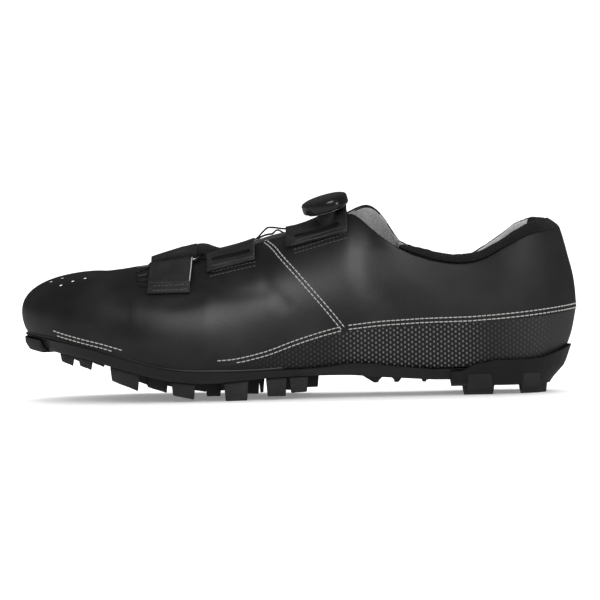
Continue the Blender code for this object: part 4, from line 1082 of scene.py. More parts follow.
    def lay_folds(self) -> None:
        """Moves the outer skin in and out along the folds."""
        skin = Skin([self.piece], self.shoe.sight)
        mesh = self.piece.data
        outer = self.outer_faces()
        touched = np.zeros(len(mesh.vertices), bool)
        for polygon in mesh.polygons:
            if outer[polygon.index]:
                touched[list(polygon.vertices)] = True
        rows = points_of(self.piece)
        normals = normals_of(self.piece)
        moved = np.zeros(len(rows))
        for fold in self.folds:
            for side, share in ((Side.OUTER, 1.0), (Side.INNER, self.inner_folds)):
                line = np.array(curve_through(skin.traced(fold.line, side), 2.0 * MM))
                near = np.min(np.linalg.norm(rows[:, None, :] - line[None, :, :], axis=2), axis=1)
                moved += fold.turn.value * share * fold.depth * np.exp(-(near / fold.width) ** 2 * 2.2)
        rows += normals * (moved * touched)[:, None]
        put_points(self.piece, rows)

    def map_surface(self) -> None:
        """Unrolls the upper to metres along and up, and sorts its faces by finish."""
        mesh = self.piece.data
        rows = points_of(self.piece)
        beyond = np.clip(rows[:, 0] - HEEL_TURN, 0.0, None)
        angle = np.arctan2(beyond, np.abs(rows[:, 1]) + 1e-9)
        along = np.where(rows[:, 0] > HEEL_TURN, HEEL_TURN + angle * self.fan_radius, rows[:, 0])
        places = np.column_stack((along, rows[:, 2]))
        layer = mesh.uv_layers.get("UVMap") or mesh.uv_layers.new(name="UVMap")
        corners = np.empty(len(mesh.loops), int)
        mesh.loops.foreach_get("vertex_index", corners)
        layer.data.foreach_set("uv", places[corners].ravel())
        outer = self.outer_faces()
        for polygon in mesh.polygons:
            share = share_of(polygon.center.x)
            limit = self.edge_height(share) - float(look_up(self.lowered, share))
            if not outer[polygon.index]:
                polygon.material_index = 2
            elif polygon.center.z < limit and share < self.panel_end:
                polygon.material_index = 1
            else:
                polygon.material_index = 0

    def finish(self) -> None:
        """Dresses the upper."""
        finishes = self.shoe.finishes
        indices = [polygon.material_index for polygon in self.piece.data.polygons]
        dress(self.piece, finishes.leather, finishes.panel, finishes.lining)
        self.piece.data.polygons.foreach_set("material_index", indices)
        self.shoe.keep(self.piece, "upper_leather", "upper")


@dataclass
class Seams:
    """The double rows of pale stitching on both sides."""

    shoe: Shoe
    skin: Skin
    gap: float = 2.05 * MM
    needle: Needle = field(default_factory=Needle)
    quarter: tuple[Pair, ...] = ((265.5, 241.8), (273.5, 248.0), (283.5, 260.0), (305.0, 284.0), (326.0, 308.0),
                                 (336.0, 320.0), (343.0, 328.6))
    waist: tuple[Pair, ...] = ((341.0, 328.8), (320.0, 334.6), (295.0, 342.8), (266.0, 353.6), (236.7, 360.8),
                               (217.0, 362.8))
    toe: tuple[Pair, ...] = ((53, 332.2), (76, 339.6), (100, 345.8), (122, 352.2))
    heel: tuple[Pair, ...] = ((348, 327.4), (380, 323.4), (425, 320.4), (470, 318.8), (500, 316.4), (530, 313.0),
                              (560, 308.4))
    heel_back: float = 44.2 * MM

    def doubled(self, line: Line, dropped: tuple[int, int] = (0, 0)) -> list[Line]:
        """Two rows beside a line, laid back onto the surface.

        Args:
            line: Places and normals, a stitch apart.
            dropped: Stitches that the lower row lacks at the line's start and end.

        Returns:
            The two rows.
        """
        rows = []
        for way in (-0.5, 0.5):
            row = []
            for k, (place, normal) in enumerate(line):
                ahead = line[min(k + 1, len(line) - 1)][0] - line[max(k - 1, 0)][0]
                across = normal.cross(ahead).normalized()
                row.append(self.skin.nearest(place + across * self.gap * way))
            rows.append(row)
        rows.sort(key=lambda row: sum(place.z for place, _ in row))
        rows[0] = rows[0][dropped[0]:len(rows[0]) - dropped[1]]
        return rows

    def from_picture(self, points: tuple[Pair, ...], side: Side) -> Line:
        """A line of the picture as places and normals, a stitch apart."""
        return [self.skin.nearest(place) for place in curve_through(self.skin.traced(points, side), self.needle.pitch)]

    def round_heel(self) -> Line:
        """The line from the outer waist round the heel to the inner waist."""
        seen = [self.skin.seen(*point)[0] for point in self.heel]
        heights = [self.heel_back, *(place.z for place in reversed(seen))]
        shares = [0.0, *(share_of(place.x) for place in reversed(seen))]
        ahead = np.linspace(shares[-1], 0.125, 14)
        along = {side: [self.skin.beside(HEEL_BACK - share * LENGTH, float(np.interp(share, shares, heights)), side)[0]
                        for share in ahead] for side in Side}
        back = []
        for angle in np.linspace(0.04, math.pi - 0.04, 22):
            height = 0.045
            for _ in range(4):
                place, _ = self.skin.around_heel(angle, height)
                height = float(np.interp(share_of(place.x), shares, heights))
            back.append(place)
        line = curve_through(along[Side.OUTER] + back + along[Side.INNER][::-1], self.needle.pitch)
        return [self.skin.nearest(place) for place in line]

    def build(self) -> None:
        """Sews all the rows."""
        rows = self.doubled(self.round_heel())
        for side in Side:
            for line, dropped in ((self.quarter, (0, 0)), (self.waist, (0, 4)), (self.toe, (1, 2))):
                rows += self.doubled(self.from_picture(line, side), dropped)
        piece = self.needle.sew("seam_stitching", rows, self.shoe.finishes.thread)
        self.shoe.keep(piece, "upper_leather")


@dataclass
class ToeVents:
    """Small round vents with a silver mesh floor over the toes."""

    shoe: Shoe
    skin: Skin
    diameter: float = 2.0 * MM
    rim: float = 0.16 * MM
    rim_height: float = 0.20 * MM
    wall: float = 0.10 * MM
    wall_depth: float = 0.08 * MM
    proud: float = 0.06 * MM
    places: tuple[Pair, ...] = ((51.3, 282.1), (61.0, 285.7), (62.4, 278.7), (72.9, 281.6), (85.2, 278.7))

    def build(self) -> None:
        """Models one vent and sets a copy on each place of both sides."""
        piece = add_shape(bpy.ops.mesh.primitive_circle_add, vertices=12, radius=self.diameter / 2, fill_type="NGON")
        edit(piece, lambda: bpy.ops.mesh.inset(thickness=self.rim, depth=self.rim_height))
        activate(piece)
        bpy.ops.object.mode_set(mode="EDIT")
        bpy.ops.mesh.inset(thickness=self.wall, depth=-self.wall_depth)
        bpy.ops.object.mode_set(mode="OBJECT")
        shape = points_of(piece)
        faces = [tuple(p.vertices) for p in piece.data.polygons]
        floor = max(range(len(faces)), key=lambda k: len(faces[k]))
        bpy.data.objects.remove(piece)
        points, shells, kinds = [], [], []
        for across, down in self.places:
            outer = self.skin.seen(across, down)
            for place, normal in (outer, self.skin.mirrored(outer[0])):
                across_way = normal.orthogonal().normalized()
                turn = np.array((across_way, normal.cross(across_way), normal))
                start = len(points)
                points.extend((shape @ turn + np.array(place + normal * self.proud)).tolist())
                shells.extend(tuple(k + start for k in face) for face in faces)
                kinds += [1 if k == floor else 0 for k in range(len(faces))]
        vents = piece_from("toe_vents", points, shells)
        dress(vents, self.shoe.finishes.leather, self.shoe.finishes.silver)
        vents.data.polygons.foreach_set("material_index", kinds)
        self.shoe.keep(vents, "upper_leather")


@dataclass
class Welt:
    """The rolled edge of the leather where it is lasted onto the sole of the forefoot."""

    shoe: Shoe
    skin: Skin
    radius: float = 1.5 * MM
    sunk: float = 1.15 * MM
    low: float = 0.3 * MM
    tip: tuple = (-0.2, 0.0, 0.0344)
    line: tuple[Pair, ...] = ((30.0, 332.2), (49.8, 336.6), (82.9, 346.0), (116.0, 355.8), (149.0, 365.6),
                              (166.0, 369.0), (190.7, 371.2), (215.6, 371.2), (258.7, 369.9), (285.0, 367.6))

    def build(self) -> None:
        """Runs a cord along the joint from the tip of the toe to the waist of each side."""
        rolls = []
        for side in Side:
            places = self.skin.traced(self.line, side)
            places.insert(0, self.skin.tree.ray_cast(Vector(self.tip), Vector((1.0, 0.0, 0.0)))[0])
            sunk = []
            for place in curve_through(places, 2.0 * MM):
                found, normal = self.skin.nearest(place)
                level = normal * Vector((1.0, 1.0, 0.0))
                sunk.append(found - level.normalized() * self.sunk - Vector((0.0, 0.0, self.low)))
            rolls.append(tube("leather_edge", sunk, self.radius, sides=12))
        for roll in rolls:
            dress(roll, self.shoe.finishes.leather)
        self.shoe.keep(unite("leather_edge", rolls), "upper_leather")


@dataclass
class Collar:
    """The rolled collar padding, the tongue and the footbed."""

    shoe: Shoe
    pucker: float = 0.45 * MM
    fuzz: float = 0.14 * MM
    lap: float = 1.0 * MM
    heel_lap: float = 1.6 * MM
    sag: float = 1.2 * MM
    heel_sag: float = 2.2 * MM
    axis: Pair = (-20.0 * MM, 105.0 * MM)
    rear: Pair = (80.0 * MM, 130.0 * MM)
    front: Pair = (45.0 * MM, 57.0 * MM)
    lining_end: float = 118.0 * MM
    lining_turn: float = 0.78
    bulge: tuple[Pair, ...] = ((0.44, 0.0), (0.48, 0.8 * MM), (0.53, 2.2 * MM), (0.57, 2.0 * MM), (0.60, 1.0 * MM),
                               (0.63, 2.0 * MM), (0.655, 4.2 * MM), (0.677, 4.6 * MM), (0.69, 2.4 * MM), (0.72, 0.0))
    bulge_reach: float = 11.0 * MM

    def build(self) -> None:
        """Makes the soft pieces from their CAD solids."""
        self.make_pad()
        self.make_tongue()
        self.make_footbed()

    def make_pad(self) -> None:
        """A full roll of knit that laps over the leather's edge, with grey lining on its inner face."""
        pad = copy_node(self.shoe.nodes, "collar_pad", "collar_roll")
        subdivide(pad, 2)
        kinds = []
        for polygon in pad.data.polygons:
            centre, normal = polygon.center, polygon.normal
            inner = normal.y * centre.y < 0 and abs(normal.y) > 0.30 and centre.x < self.lining_end
            kinds.append(1 if inner and normal.z < self.lining_turn else 0)
        rows = points_of(pad)
        normals = normals_of(pad)
        away = np.column_stack((rows[:, 0] - np.clip(rows[:, 0], *self.axis), rows[:, 1]))
        away /= np.linalg.norm(away, axis=1)[:, None] + 1e-9
        outward = np.clip(np.einsum("ij,ij->i", normals[:, :2], away), 0.0, 1.0)
        rear = ramp(rows[:, 0], *self.rear)
        front = ramp(rows[:, 0], *self.front)
        reach = (self.lap + rear * self.heel_lap) * outward * front
        rows[:, :2] += away * reach[:, None]
        rows[:, 2] -= (self.sag + rear * self.heel_sag) * outward * front
        along = np.arctan2(rows[:, 1], rows[:, 0] - 60.0 * MM) * 45.0 * MM
        ripple = (np.sin(along * 900.0) * np.sin(along * 371.0 + 1.0)
                  + 0.5 * np.sin(rows[:, 0] * 420.0 + rows[:, 2] * 150.0))
        fuzz = np.sin(rows[:, 0] * 3100.0 + rows[:, 2] * 5300.0) * np.sin(rows[:, 1] * 4700.0 + rows[:, 2] * 2900.0)
        rows += normals * (ripple * self.pucker * 0.5 + fuzz * self.fuzz)[:, None]
        put_points(pad, rows)
        dress(pad, self.shoe.finishes.collar, self.shoe.finishes.lining)
        pad.data.polygons.foreach_set("material_index", kinds)
        self.shoe.keep(pad, "collar_lining", "collar_pad")

    def make_tongue(self) -> None:
        """The thin padded tongue, which bulges up through the throat between the straps."""
        tongue = copy_node(self.shoe.nodes, "tongue", "tongue_mesh")
        crease(tongue, math.radians(60), 0.3)
        subdivide(tongue, 2)
        rows = points_of(tongue)
        middle = np.clip(1.0 - (rows[:, 1] / self.bulge_reach) ** 2, 0.0, 1.0)
        rows[:, 2] += look_up(self.bulge, share_of(rows[:, 0])) * middle
        put_points(tongue, rows)
        dress(tongue, self.shoe.finishes.tongue)
        self.shoe.keep(tongue, "collar_lining", "tongue")

    def make_footbed(self) -> None:
        """The loose foam footbed."""
        footbed = copy_node(self.shoe.nodes, "insole", "footbed")
        crease(footbed, math.radians(60), 0.6)
        subdivide(footbed, 1)
        dress(footbed, self.shoe.finishes.footbed)
        self.shoe.keep(footbed, "insole_lining", "insole")


@dataclass
class Strip:
    """One strip of strap cloth: its CAD node, its slot and its rolled hems, by points of the picture."""

    node: str
    name: str
    side: Side = Side.OUTER
    slot: Optional[tuple[Pair, Pair]] = None
    hems: tuple[tuple[Pair, ...], ...] = ()
    slot_width: float = 2.6 * MM


LOWER_SLOT = ((214.0, 258.6), (247.5, 251.0))
LOWER_HEMS = (((209.6, 266.2), (232.0, 261.2), (253.6, 256.4)), ((253.6, 241.2), (253.8, 248.0), (253.8, 256.0)))
TAB_HEMS = (((147.6, 284.2), (168.0, 283.2), (189.0, 281.8)), ((149.6, 263.0), (148.6, 273.0), (147.8, 283.6)))
UPPER_SLOT = ((296.5, 235.6), (336.0, 224.0))
UPPER_HEMS = (((291.0, 245.2), (318.0, 237.6), (346.5, 229.2)), ((294.0, 241.2), (318.0, 234.2), (341.5, 227.4)),
              ((345.2, 213.0), (346.0, 218.5), (346.4, 224.0), (346.5, 229.0)))


@dataclass
class Strapping:
    """The forefoot strap with its tab and ring, the wire guides and the dial's strap."""

    shoe: Shoe
    skin: Skin
    edge: float = 0.35 * MM
    slot_depth: float = 0.9 * MM
    hem_radius: float = 0.42 * MM
    tab_narrower: float = 1.8 * MM
    tab_slant: float = 2.2 * MM
    arch: tuple[Pair, ...] = ((-78.0 * MM, -2.0 * MM), (-74.7 * MM, -1.1 * MM), (-67.0 * MM, 0.3 * MM),
                              (-59.3 * MM, 1.7 * MM), (-53.2 * MM, 2.0 * MM), (-49.0 * MM, 1.7 * MM),
                              (-46.0 * MM, 0.7 * MM), (-42.4 * MM, -1.6 * MM), (-39.8 * MM, -3.0 * MM))
    arch_heights: Pair = (54.0 * MM, 62.0 * MM)
    under: tuple[Pair, ...] = ((-64.0 * MM, 0.0), (-58.0 * MM, 2.5 * MM), (-52.0 * MM, 5.0 * MM),
                               (-46.0 * MM, 4.5 * MM), (-42.0 * MM, 0.5 * MM))
    binding_radius: float = 0.26 * MM
    rib_radius: float = 0.75 * MM
    strips: tuple[Strip, ...] = (
        Strip("forefoot_strap", "forefoot_strap_cloth"),
        Strip("strap_tab", "strap_tab_cloth", hems=TAB_HEMS),
        Strip("lateral_lower_guide", "outer_lower_loop", Side.OUTER, LOWER_SLOT, LOWER_HEMS),
        Strip("medial_lower_guide", "inner_lower_loop", Side.INNER, LOWER_SLOT, LOWER_HEMS),
        Strip("medial_upper_guide", "inner_upper_loop", Side.INNER, ((298.0, 235.0), (331.0, 225.4))),
        Strip("dial_strap", "dial_strap_cloth", Side.OUTER, UPPER_SLOT, UPPER_HEMS))
    seams: tuple[tuple[Pair, ...], ...] = (
        ((211.5, 272.2), (233.0, 267.0), (256.0, 261.8)), ((209.5, 276.4), (232.0, 271.2), (256.0, 265.8)),
        ((293.3, 249.8), (320.0, 241.6), (346.8, 233.2)), ((293.9, 253.4), (321.0, 245.4), (347.5, 238.0)))
    tab_seams: tuple[tuple[Pair, ...], ...] = (((152.5, 286.2), (170.0, 285.4), (189.0, 284.0)),
                                               ((152.5, 290.8), (170.0, 290.2), (187.0, 289.2)))
    anchor_seams: tuple[tuple[Pair, ...], ...] = (((152.5, 304.5), (172.0, 303.8), (190.0, 303.0)),
                                                  ((152.5, 308.0), (172.0, 307.3), (190.0, 306.5)))
    binding: tuple[Pair, ...] = ((192.0, 257.5), (191.2, 265.0), (190.3, 273.0), (189.4, 281.0))
    ribs: tuple[tuple[Pair, Pair], ...] = (((136.5, 272.5), (149.5, 268.0)), ((136.0, 276.8), (149.5, 274.0)),
                                           ((137.0, 281.0), (149.5, 280.0)), ((140.0, 285.4), (149.5, 285.6)))

    def build(self) -> None:
        """Cuts and softens the strips, and adds their hems, seams and binding."""
        finishes = self.shoe.finishes
        for strip in self.strips:
            piece = copy_node(self.shoe.nodes, strip.node, strip.name)
            if strip.node == "strap_tab":
                self.slant_tab(piece)
            elif strip.node == "forefoot_strap":
                self.arch_strap(piece)
            surface = Skin([piece], self.shoe.sight)
            dress(piece, finishes.strap, finishes.slot)
            if strip.slot:
                self.cut_slot(piece, surface, strip)
            bevel(piece, self.edge, 2, 40)
            activate(piece)
            bpy.ops.object.shade_smooth_by_angle(angle=math.radians(40))
            rolls = [tube(strip.name + "_hem", self.on_side(surface, hem, strip.side, 1.2 * MM), self.hem_radius)
                     for hem in strip.hems]
            # The hems take the lighter piping colour, a painted highlight.
            for roll in rolls:
                dress(roll, finishes.painted_highlight_piping)
            piece = unite(strip.name, [piece, *rolls]) if rolls else piece
            self.shoe.keep(piece, "strap_fabric", strip.node)
        self.sew_seams()
        self.add_binding()
        self.add_ribs()

    def slant_tab(self, piece: bpy.types.Object) -> None:
        """Draws the tab's rear edge in and its sewn base forward."""
        rows = points_of(piece)
        front, rear = rows[:, 0].min(), rows[:, 0].max()
        high, low = rows[:, 2].max(), rows[:, 2].min()
        for vertex in piece.data.vertices:
            share = (vertex.co.x - front) / (rear - front)
            down = (high - vertex.co.z) / (high - low)
            move = -share * self.tab_narrower - down * self.tab_slant
            vertex.co = self.skin.slid(vertex.co, Vector((move, 0.0, 0.0)))

    def arch_strap(self, piece: bpy.types.Object) -> None:
        """Arches the strap over the throat, fills the space under it and bends its loose end down."""
        subdivide(piece, 2, "SIMPLE")
        rows = points_of(piece)
        below = np.clip(-normals_of(piece)[:, 2] * 2.0, 0.0, 1.0)
        rise = look_up(self.arch, rows[:, 0]) - look_up(self.under, rows[:, 0]) * below
        rows[:, 2] += rise * ramp(rows[:, 2], *self.arch_heights)
        put_points(piece, rows)

    def on_side(self, surface: Skin, line: Sequence[Pair], side: Side, step: float) -> list[Vector]:
        """A line of the picture on a surface, on the outer side or mirrored to the inner side."""
        places = [surface.seen(*point)[0] for point in line]
        if side is Side.INNER:
            outer = [self.skin.seen(*point)[0] for point in line]
            places = [surface.mirrored(place)[0] for place in outer]
        return [surface.tree.find_nearest(place)[0] for place in curve_through(places, step)]

    def cut_slot(self, piece: bpy.types.Object, surface: Skin, strip: Strip) -> None:
        """Sinks a rounded slot into a strip; its recess takes the near-black slot colour, a painted shade."""
        first, last = self.on_side(surface, strip.slot, strip.side, 1.0)
        normal = Skin.outward(first, surface.tree.find_nearest((first + last) / 2)[1])
        ahead = (last - first).normalized()
        across = normal.cross(ahead).normalized()
        length = (last - first).length
        cutter = add_shape(bpy.ops.mesh.primitive_cylinder_add, vertices=16, radius=strip.slot_width / 2,
                           depth=self.slot_depth * 2)
        edit_part(cutter, "vertices", lambda vertex: vertex.co.x > 0.02 * MM,
                  lambda: bpy.ops.transform.translate(value=(length, 0.0, 0.0)))
        turn = Matrix((ahead, across, ahead.cross(across))).transposed().to_4x4()
        cutter.data.transform(Matrix.Translation(first) @ turn)
        # The cutter's faces become the slot's walls and floor, in the near-black painted shade.
        cutter.data.materials.append(self.shoe.finishes.slot)
        finish_modifier(piece, "BOOLEAN", operation="DIFFERENCE", solver="EXACT", object=cutter)
        bpy.data.objects.remove(cutter)

    def sew_seams(self) -> None:
        """Sews the strips' lower edges to the leather on both sides."""
        needle = Needle(length=1.7 * MM, pitch=2.0 * MM, width=0.52 * MM, rise=0.12 * MM)
        cloth = [o for o in bpy.context.scene.objects if o.name.endswith(("_loop", "_cloth", "upper_leather"))]
        whole = Skin(cloth, self.shoe.sight)
        lines = [(line, side) for line in self.seams for side in Side]
        lines += [(line, Side.OUTER) for line in self.tab_seams] + [(line, Side.INNER) for line in self.anchor_seams]
        rows = []
        for line, side in lines:
            places = self.on_side(whole, line, side, needle.pitch)
            rows.append([(place, whole.nearest(place)[1]) for place in places])
        piece = needle.sew("strap_stitching", rows, self.shoe.finishes.dark_thread)
        self.shoe.keep(piece, "strap_fabric")

    def add_binding(self) -> None:
        """The pale reflective binding on the tab's rear edge."""
        tab = next(o for o in bpy.context.scene.objects if o.name == "strap_tab_cloth")
        line = self.on_side(Skin([tab], self.shoe.sight), self.binding, Side.OUTER, 1.5 * MM)
        piece = tube("tab_binding", line, self.binding_radius)
        dress(piece, self.shoe.finishes.pale)
        self.shoe.keep(piece, "strap_fabric")

    def add_ribs(self) -> None:
        """The gathered ribs in front of the tab, on both sides."""
        rolls = [tube("throat_rib", self.on_side(self.skin, line, side, 1.2 * MM), self.rib_radius)
                 for line in self.ribs for side in Side]
        for roll in rolls:
            dress(roll, self.shoe.finishes.leather)
        self.shoe.keep(unite("throat_ribs", rolls), "strap_fabric")


@dataclass
class Dial:
    """The lace dial on its housing, the ring of the strap and the laced wire."""

    shoe: Shoe
    pitch: float = math.radians(15.5)
    roll: float = math.radians(7.0)
    edge: float = 0.45 * MM
    trim_radius: float = 9.6 * MM
    trim_thickness: float = 0.32 * MM
    housing_share: float = 0.68
    lead: Pair = (-20.0 * MM, -6.3 * MM)
    lead_drop: float = 3.1 * MM
    lead_side: float = 3.0 * MM

    def build(self) -> None:
        """Softens the dial's solids and dresses the metal parts."""
        finishes = self.shoe.finishes
        for node, name in (("dial_knob", "dial_knob_ribbed"), ("dial_base", "dial_housing")):
            piece = copy_node(self.shoe.nodes, node, name)
            if node == "dial_base":
                self.narrow(piece)
            bevel(piece, self.edge, 3, 40)
            dress(piece, finishes.dial if node == "dial_knob" else finishes.cup, angle=math.radians(35))
            self.shoe.keep(piece, "dial_plastic", node)
        for node, name, finish, slot in (("strap_ring", "strap_ring_steel", finishes.steel, "ring_metal"),
                                         ("lace_wire", "laced_wire", finishes.wire, "lace_wire")):
            piece = copy_node(self.shoe.nodes, node, name)
            if node == "lace_wire":
                self.lead_in(piece)
            subdivide(piece, 1)
            dress(piece, finish)
            self.shoe.keep(piece, slot, node)
        self.add_trim()

    def axes(self) -> tuple[Vector, Vector, Vector, Vector]:
        """The knob's lower centre and its directions along, across and up."""
        ahead = Vector((-math.cos(self.pitch), 0.0, -math.sin(self.pitch)))
        level = Vector((-math.sin(self.pitch), 0.0, math.cos(self.pitch)))
        across = Vector((0.0, math.cos(self.roll), 0.0)) + level * math.sin(self.roll)
        up = ahead.cross(across)
        up = up if up.z > 0 else -up
        rows = np.array([v.co for v in self.shoe.nodes["dial_knob"].data.vertices])
        middle = Vector((rows.min(0) + rows.max(0)) / 2)
        low = min((Vector(row) - middle).dot(up) for row in rows)
        return middle + up * low, ahead, across, up

    def lead_in(self, piece: bpy.types.Object) -> None:
        """Bends the wire's end down into the dial's strap."""
        for vertex in piece.data.vertices:
            if vertex.co.y < self.lead_side:
                vertex.co.z -= self.lead_drop * ease(float(ramp(vertex.co.x, *self.lead)))

    def narrow(self, piece: bpy.types.Object) -> None:
        """Draws the housing's wall in under the knob, so that the strap's slot shows below it."""
        centre, _, _, up = self.axes()
        for vertex in piece.data.vertices:
            off = vertex.co - centre
            rise = up * off.dot(up)
            vertex.co = centre + rise + (off - rise) * self.housing_share

    def add_trim(self) -> None:
        """A steel ring under the knob."""
        centre, ahead, across, up = self.axes()
        ring = [centre + (ahead * math.cos(t) + across * math.sin(t)) * self.trim_radius - up * 0.05 * MM
                for t in np.linspace(0.0, 2 * math.pi, 40, endpoint=False)]
        piece = tube("dial_trim", ring, self.trim_thickness, closed=True)
        dress(piece, self.shoe.finishes.steel)
        self.shoe.keep(piece, "ring_metal")


@dataclass
class Sole:
    """The stiff shell, the rubber heel and the lugs."""

    shoe: Shoe
    chamfer: float = 0.45 * MM
    slope: Pair = (90.0 * MM, 81.0 * MM)
    slope_heights: Pair = (6.0 * MM, 14.0 * MM)
    slope_drop: float = 3.0 * MM
    back: Pair = (110.0 * MM, 125.0 * MM)
    cup_back: tuple[Pair, ...] = ((7.0 * MM, 0.0), (8.5 * MM, 0.5 * MM), (13.1 * MM, 1.8 * MM), (18.2 * MM, 0.8 * MM),
                                  (24.4 * MM, -0.6 * MM))
    lugs: tuple[Pair, ...] = ((84.6 * MM, 98.6 * MM), (112.8 * MM, 123.4 * MM))
    lug_high: float = 5.4 * MM
    lug_foot: float = 1.6 * MM
    lug_top: float = 10.6 * MM
    lug_taper: float = 2.4 * MM
    lug_proud: float = 0.35 * MM
    lug_swell: float = 1.2 * MM
    lug_thickness: float = 1.4 * MM
    lug_edge: float = 0.25 * MM
    tooth_edge: float = 0.30 * MM
    teeth: tuple[tuple[float, ...], ...] = ((37.0 * MM, 11.4 * MM, 6.9 * MM, 13.0 * MM, 40.0 * MM),
                                            (48.9 * MM, 11.0 * MM, 7.1 * MM, 8.6 * MM, 39.0 * MM),
                                            (62.3 * MM, 10.8 * MM, 7.8 * MM, 18.0 * MM, 38.0 * MM))

    def build(self) -> None:
        """Rounds the edges of every solid of the sole."""
        finishes = self.shoe.finishes
        names = [n for n in self.shoe.nodes if n.startswith(("lateral_", "medial_")) and not n.endswith("guide")]
        for node in ["sole_shell", "heel_tread", "toe_bumper", *sorted(names)]:
            piece = copy_node(self.shoe.nodes, node, "dressed_" + node)
            if node == "heel_tread":
                self.shape_cup(piece)
            bevel(piece, self.chamfer, 2, 35)
            if node == "heel_tread":
                dress(piece, finishes.cup, finishes.rubber, angle=math.radians(40))
                for polygon in piece.data.polygons:
                    polygon.material_index = int(polygon.center.z < self.lug_high)
                self.add_lug_faces(Skin([piece], self.shoe.sight))
            else:
                dress(piece, finishes.shell if node == "sole_shell" else finishes.rubber, angle=math.radians(40))
            self.shoe.keep(piece, "sole_shell" if node == "sole_shell" else "tread_rubber", node)
        self.add_teeth()

    def shape_cup(self, piece: bpy.types.Object) -> None:
        """Lets the rubber cup's upper edge run out towards the waist and rounds its back."""
        subdivide(piece, 2, "SIMPLE")
        rows = points_of(piece)
        rows[:, 2] -= self.slope_drop * ease(ramp(rows[:, 0], *self.slope)) * ramp(rows[:, 2], *self.slope_heights)
        rows[:, 0] += look_up(self.cup_back, rows[:, 2]) * ramp(rows[:, 0], *self.back)
        put_points(piece, rows)

    def add_lug_faces(self, cup: Skin) -> None:
        """Draws each heel lug up the side of the rubber cup, as a thin shield laid on it."""
        shields = []
        for start, end in self.lugs:
            for side in Side:
                shield = rename(add_shape(bpy.ops.mesh.primitive_grid_add, x_subdivisions=8, y_subdivisions=8,
                                          size=1.0), "heel_lug_face")
                for vertex in shield.data.vertices:
                    up = vertex.co.y + 0.5
                    x = (start + end) / 2 + vertex.co.x * (end - start - up * self.lug_taper)
                    z = self.lug_foot + up * (self.lug_top - self.lug_foot)
                    low, wall, high = (cup.beside(x, height, side)[0].y for height in (self.lug_foot, z, self.lug_top))
                    flat = abs(low + (high - low) * up)
                    reach = min(max(flat, abs(wall)), flat + self.lug_swell) + self.lug_proud
                    vertex.co = (x, side.value * reach, z)
                finish_modifier(shield, "SOLIDIFY", thickness=self.lug_thickness, offset=float(side.value))
                edit(shield, lambda: bpy.ops.mesh.normals_make_consistent(inside=False))
                bevel(shield, self.lug_edge, 2, 50)
                shields.append(dress(shield, self.shoe.finishes.rubber, angle=math.radians(40)))
        self.shoe.keep(unite("heel_lug_faces", shields), "tread_rubber")

    def add_teeth(self) -> None:
        """Saw teeth under the arch: one tooth modelled and copied."""
        tooth = add_shape(bpy.ops.mesh.primitive_cube_add, size=1.0)
        edit_part(tooth, "polygons", lambda polygon: polygon.normal.z < -0.9,
                  lambda: bpy.ops.transform.resize(value=(0.12, 0.94, 1.0)),
                  lambda: bpy.ops.transform.translate(value=(0.10, 0.0, 0.0)))
        copies = []
        for x, top, foot, length, width in self.teeth:
            copy = tooth.copy()
            copy.data = tooth.data.copy()
            bpy.context.scene.collection.objects.link(copy)
            copy.location = (x, 0.0, (top + foot) / 2)
            copy.scale = (length, width, top - foot)
            copies.append(settle(copy))
        bpy.data.objects.remove(tooth)
        piece = unite("arch_teeth", copies)
        bevel(piece, self.tooth_edge, 2, 35)
        dress(piece, self.shoe.finishes.shell, angle=math.radians(40))
        self.shoe.keep(piece, "sole_shell")


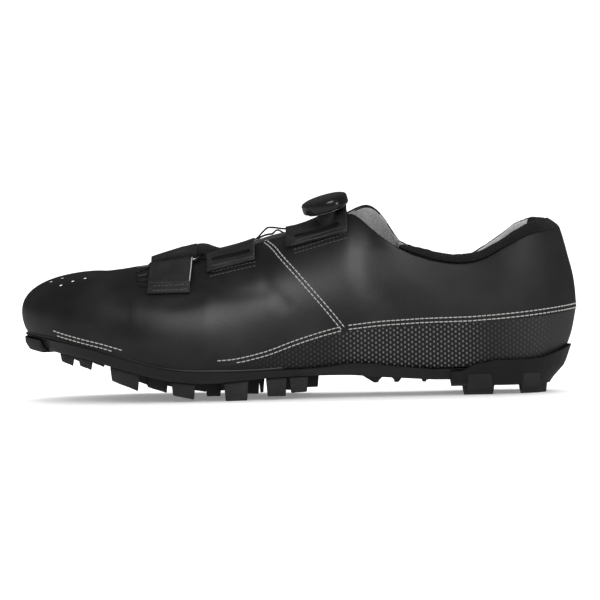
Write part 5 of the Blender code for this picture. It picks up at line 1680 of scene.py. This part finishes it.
@dataclass
class Studio:
    """A white floor and soft lamps."""

    floor_size: float = 60.0
    world_light: float = 1.15
    glossy_share: float = 0.06
    floor_glossy: float = 0.08
    floor_white: float = 0.92
    floor_glow: float = 0.20

    def build(self) -> None:
        """Adds the floor, the sky and the lamps."""
        self.add_floor()
        self.add_sky()
        self.add_lamp("key", (0.38, -0.95, 0.85), (0.55, 0.60), 6.2, (0.0, 0.0, 0.05), matte=False)
        self.add_lamp("side", (1.25, -0.75, 0.35), (0.20, 0.20), 0.9, (0.05, 0.0, 0.05), matte=False)
        self.add_lamp("back", (0.05, 0.70, 1.20), (1.2, 0.7), 9.0, (0.0, 0.0, 0.05), mirrored=False)

    def add_floor(self) -> None:
        """A wide plain floor under the lugs."""
        floor = rename(add_shape(bpy.ops.mesh.primitive_plane_add, size=self.floor_size), "studio_floor")
        shader = Shader("floor_white", Roughness=0.9, Specular_IOR_Level=0.0,
                        Emission_Strength=self.floor_glow)
        shader.drive("Emission Color", (1.0, 1.0, 1.0))
        mirrored = shader.node("ShaderNodeLightPath").outputs["Is Glossy Ray"]
        white = (self.floor_white,) * 3
        shader.drive("Base Color", shader.blend(mirrored, white, tuple(c * self.floor_glossy for c in white)))
        floor.data.materials.append(shader.material)

    def add_sky(self) -> None:
        """An even white surround, dimmer in reflections."""
        world = bpy.data.worlds.new("studio")
        world.use_nodes = True
        tree = world.node_tree
        tree.nodes.clear()
        mirrored = add_node(tree, "ShaderNodeLightPath").outputs["Is Glossy Ray"]
        light = add_node(tree, "ShaderNodeMix", {}, {0: mirrored, 2: self.world_light,
                                                     3: self.world_light * self.glossy_share})
        back = add_node(tree, "ShaderNodeBackground", {}, {"Color": (1.0, 1.0, 1.0), "Strength": light.outputs[0]})
        add_node(tree, "ShaderNodeOutputWorld", {}, {0: back.outputs[0]})
        bpy.context.scene.world = world
        bpy.context.scene.view_settings.view_transform = "Standard"

    def add_lamp(self, name: str, place: tuple, size: Pair, power: float, target: tuple,
                 mirrored: bool = True, matte: bool = True) -> None:
        """A rectangular soft lamp that looks at a point.

        Args:
            name: The lamp's name.
            place: Where it hangs.
            size: Its two sides.
            power: Its power in watts.
            target: What it looks at.
            mirrored: Whether glossy surfaces mirror it.
            matte: Whether it lights matte surfaces.
        """
        lamp = bpy.data.lights.new(name, "AREA")
        lamp.shape = "RECTANGLE"
        lamp.size, lamp.size_y = size
        lamp.energy = power
        light = bpy.data.objects.new(name, lamp)
        bpy.context.scene.collection.objects.link(light)
        light.location = place
        light.visible_glossy = mirrored
        light.visible_diffuse = matte
        light.rotation_euler = (Vector(target) - Vector(place)).to_track_quat("-Z", "Y").to_euler()


def main() -> None:
    """Loads the frame and builds and dresses the shoe in order."""
    logging.basicConfig(level=logging.INFO, format="%(message)s")
    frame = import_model()
    sight = Sight()
    sight.build()
    Studio().build()
    shoe = Shoe(frame, sight, Finishes())
    upper = Upper(shoe)
    upper.build()
    upper.finish()
    skin = Skin([upper.piece], sight)
    Seams(shoe, skin).build()
    ToeVents(shoe, skin).build()
    Welt(shoe, skin).build()
    Collar(shoe).build()
    Strapping(shoe, skin).build()
    Dial(shoe).build()
    Sole(shoe).build()


if __name__ == "__main__":
    main()
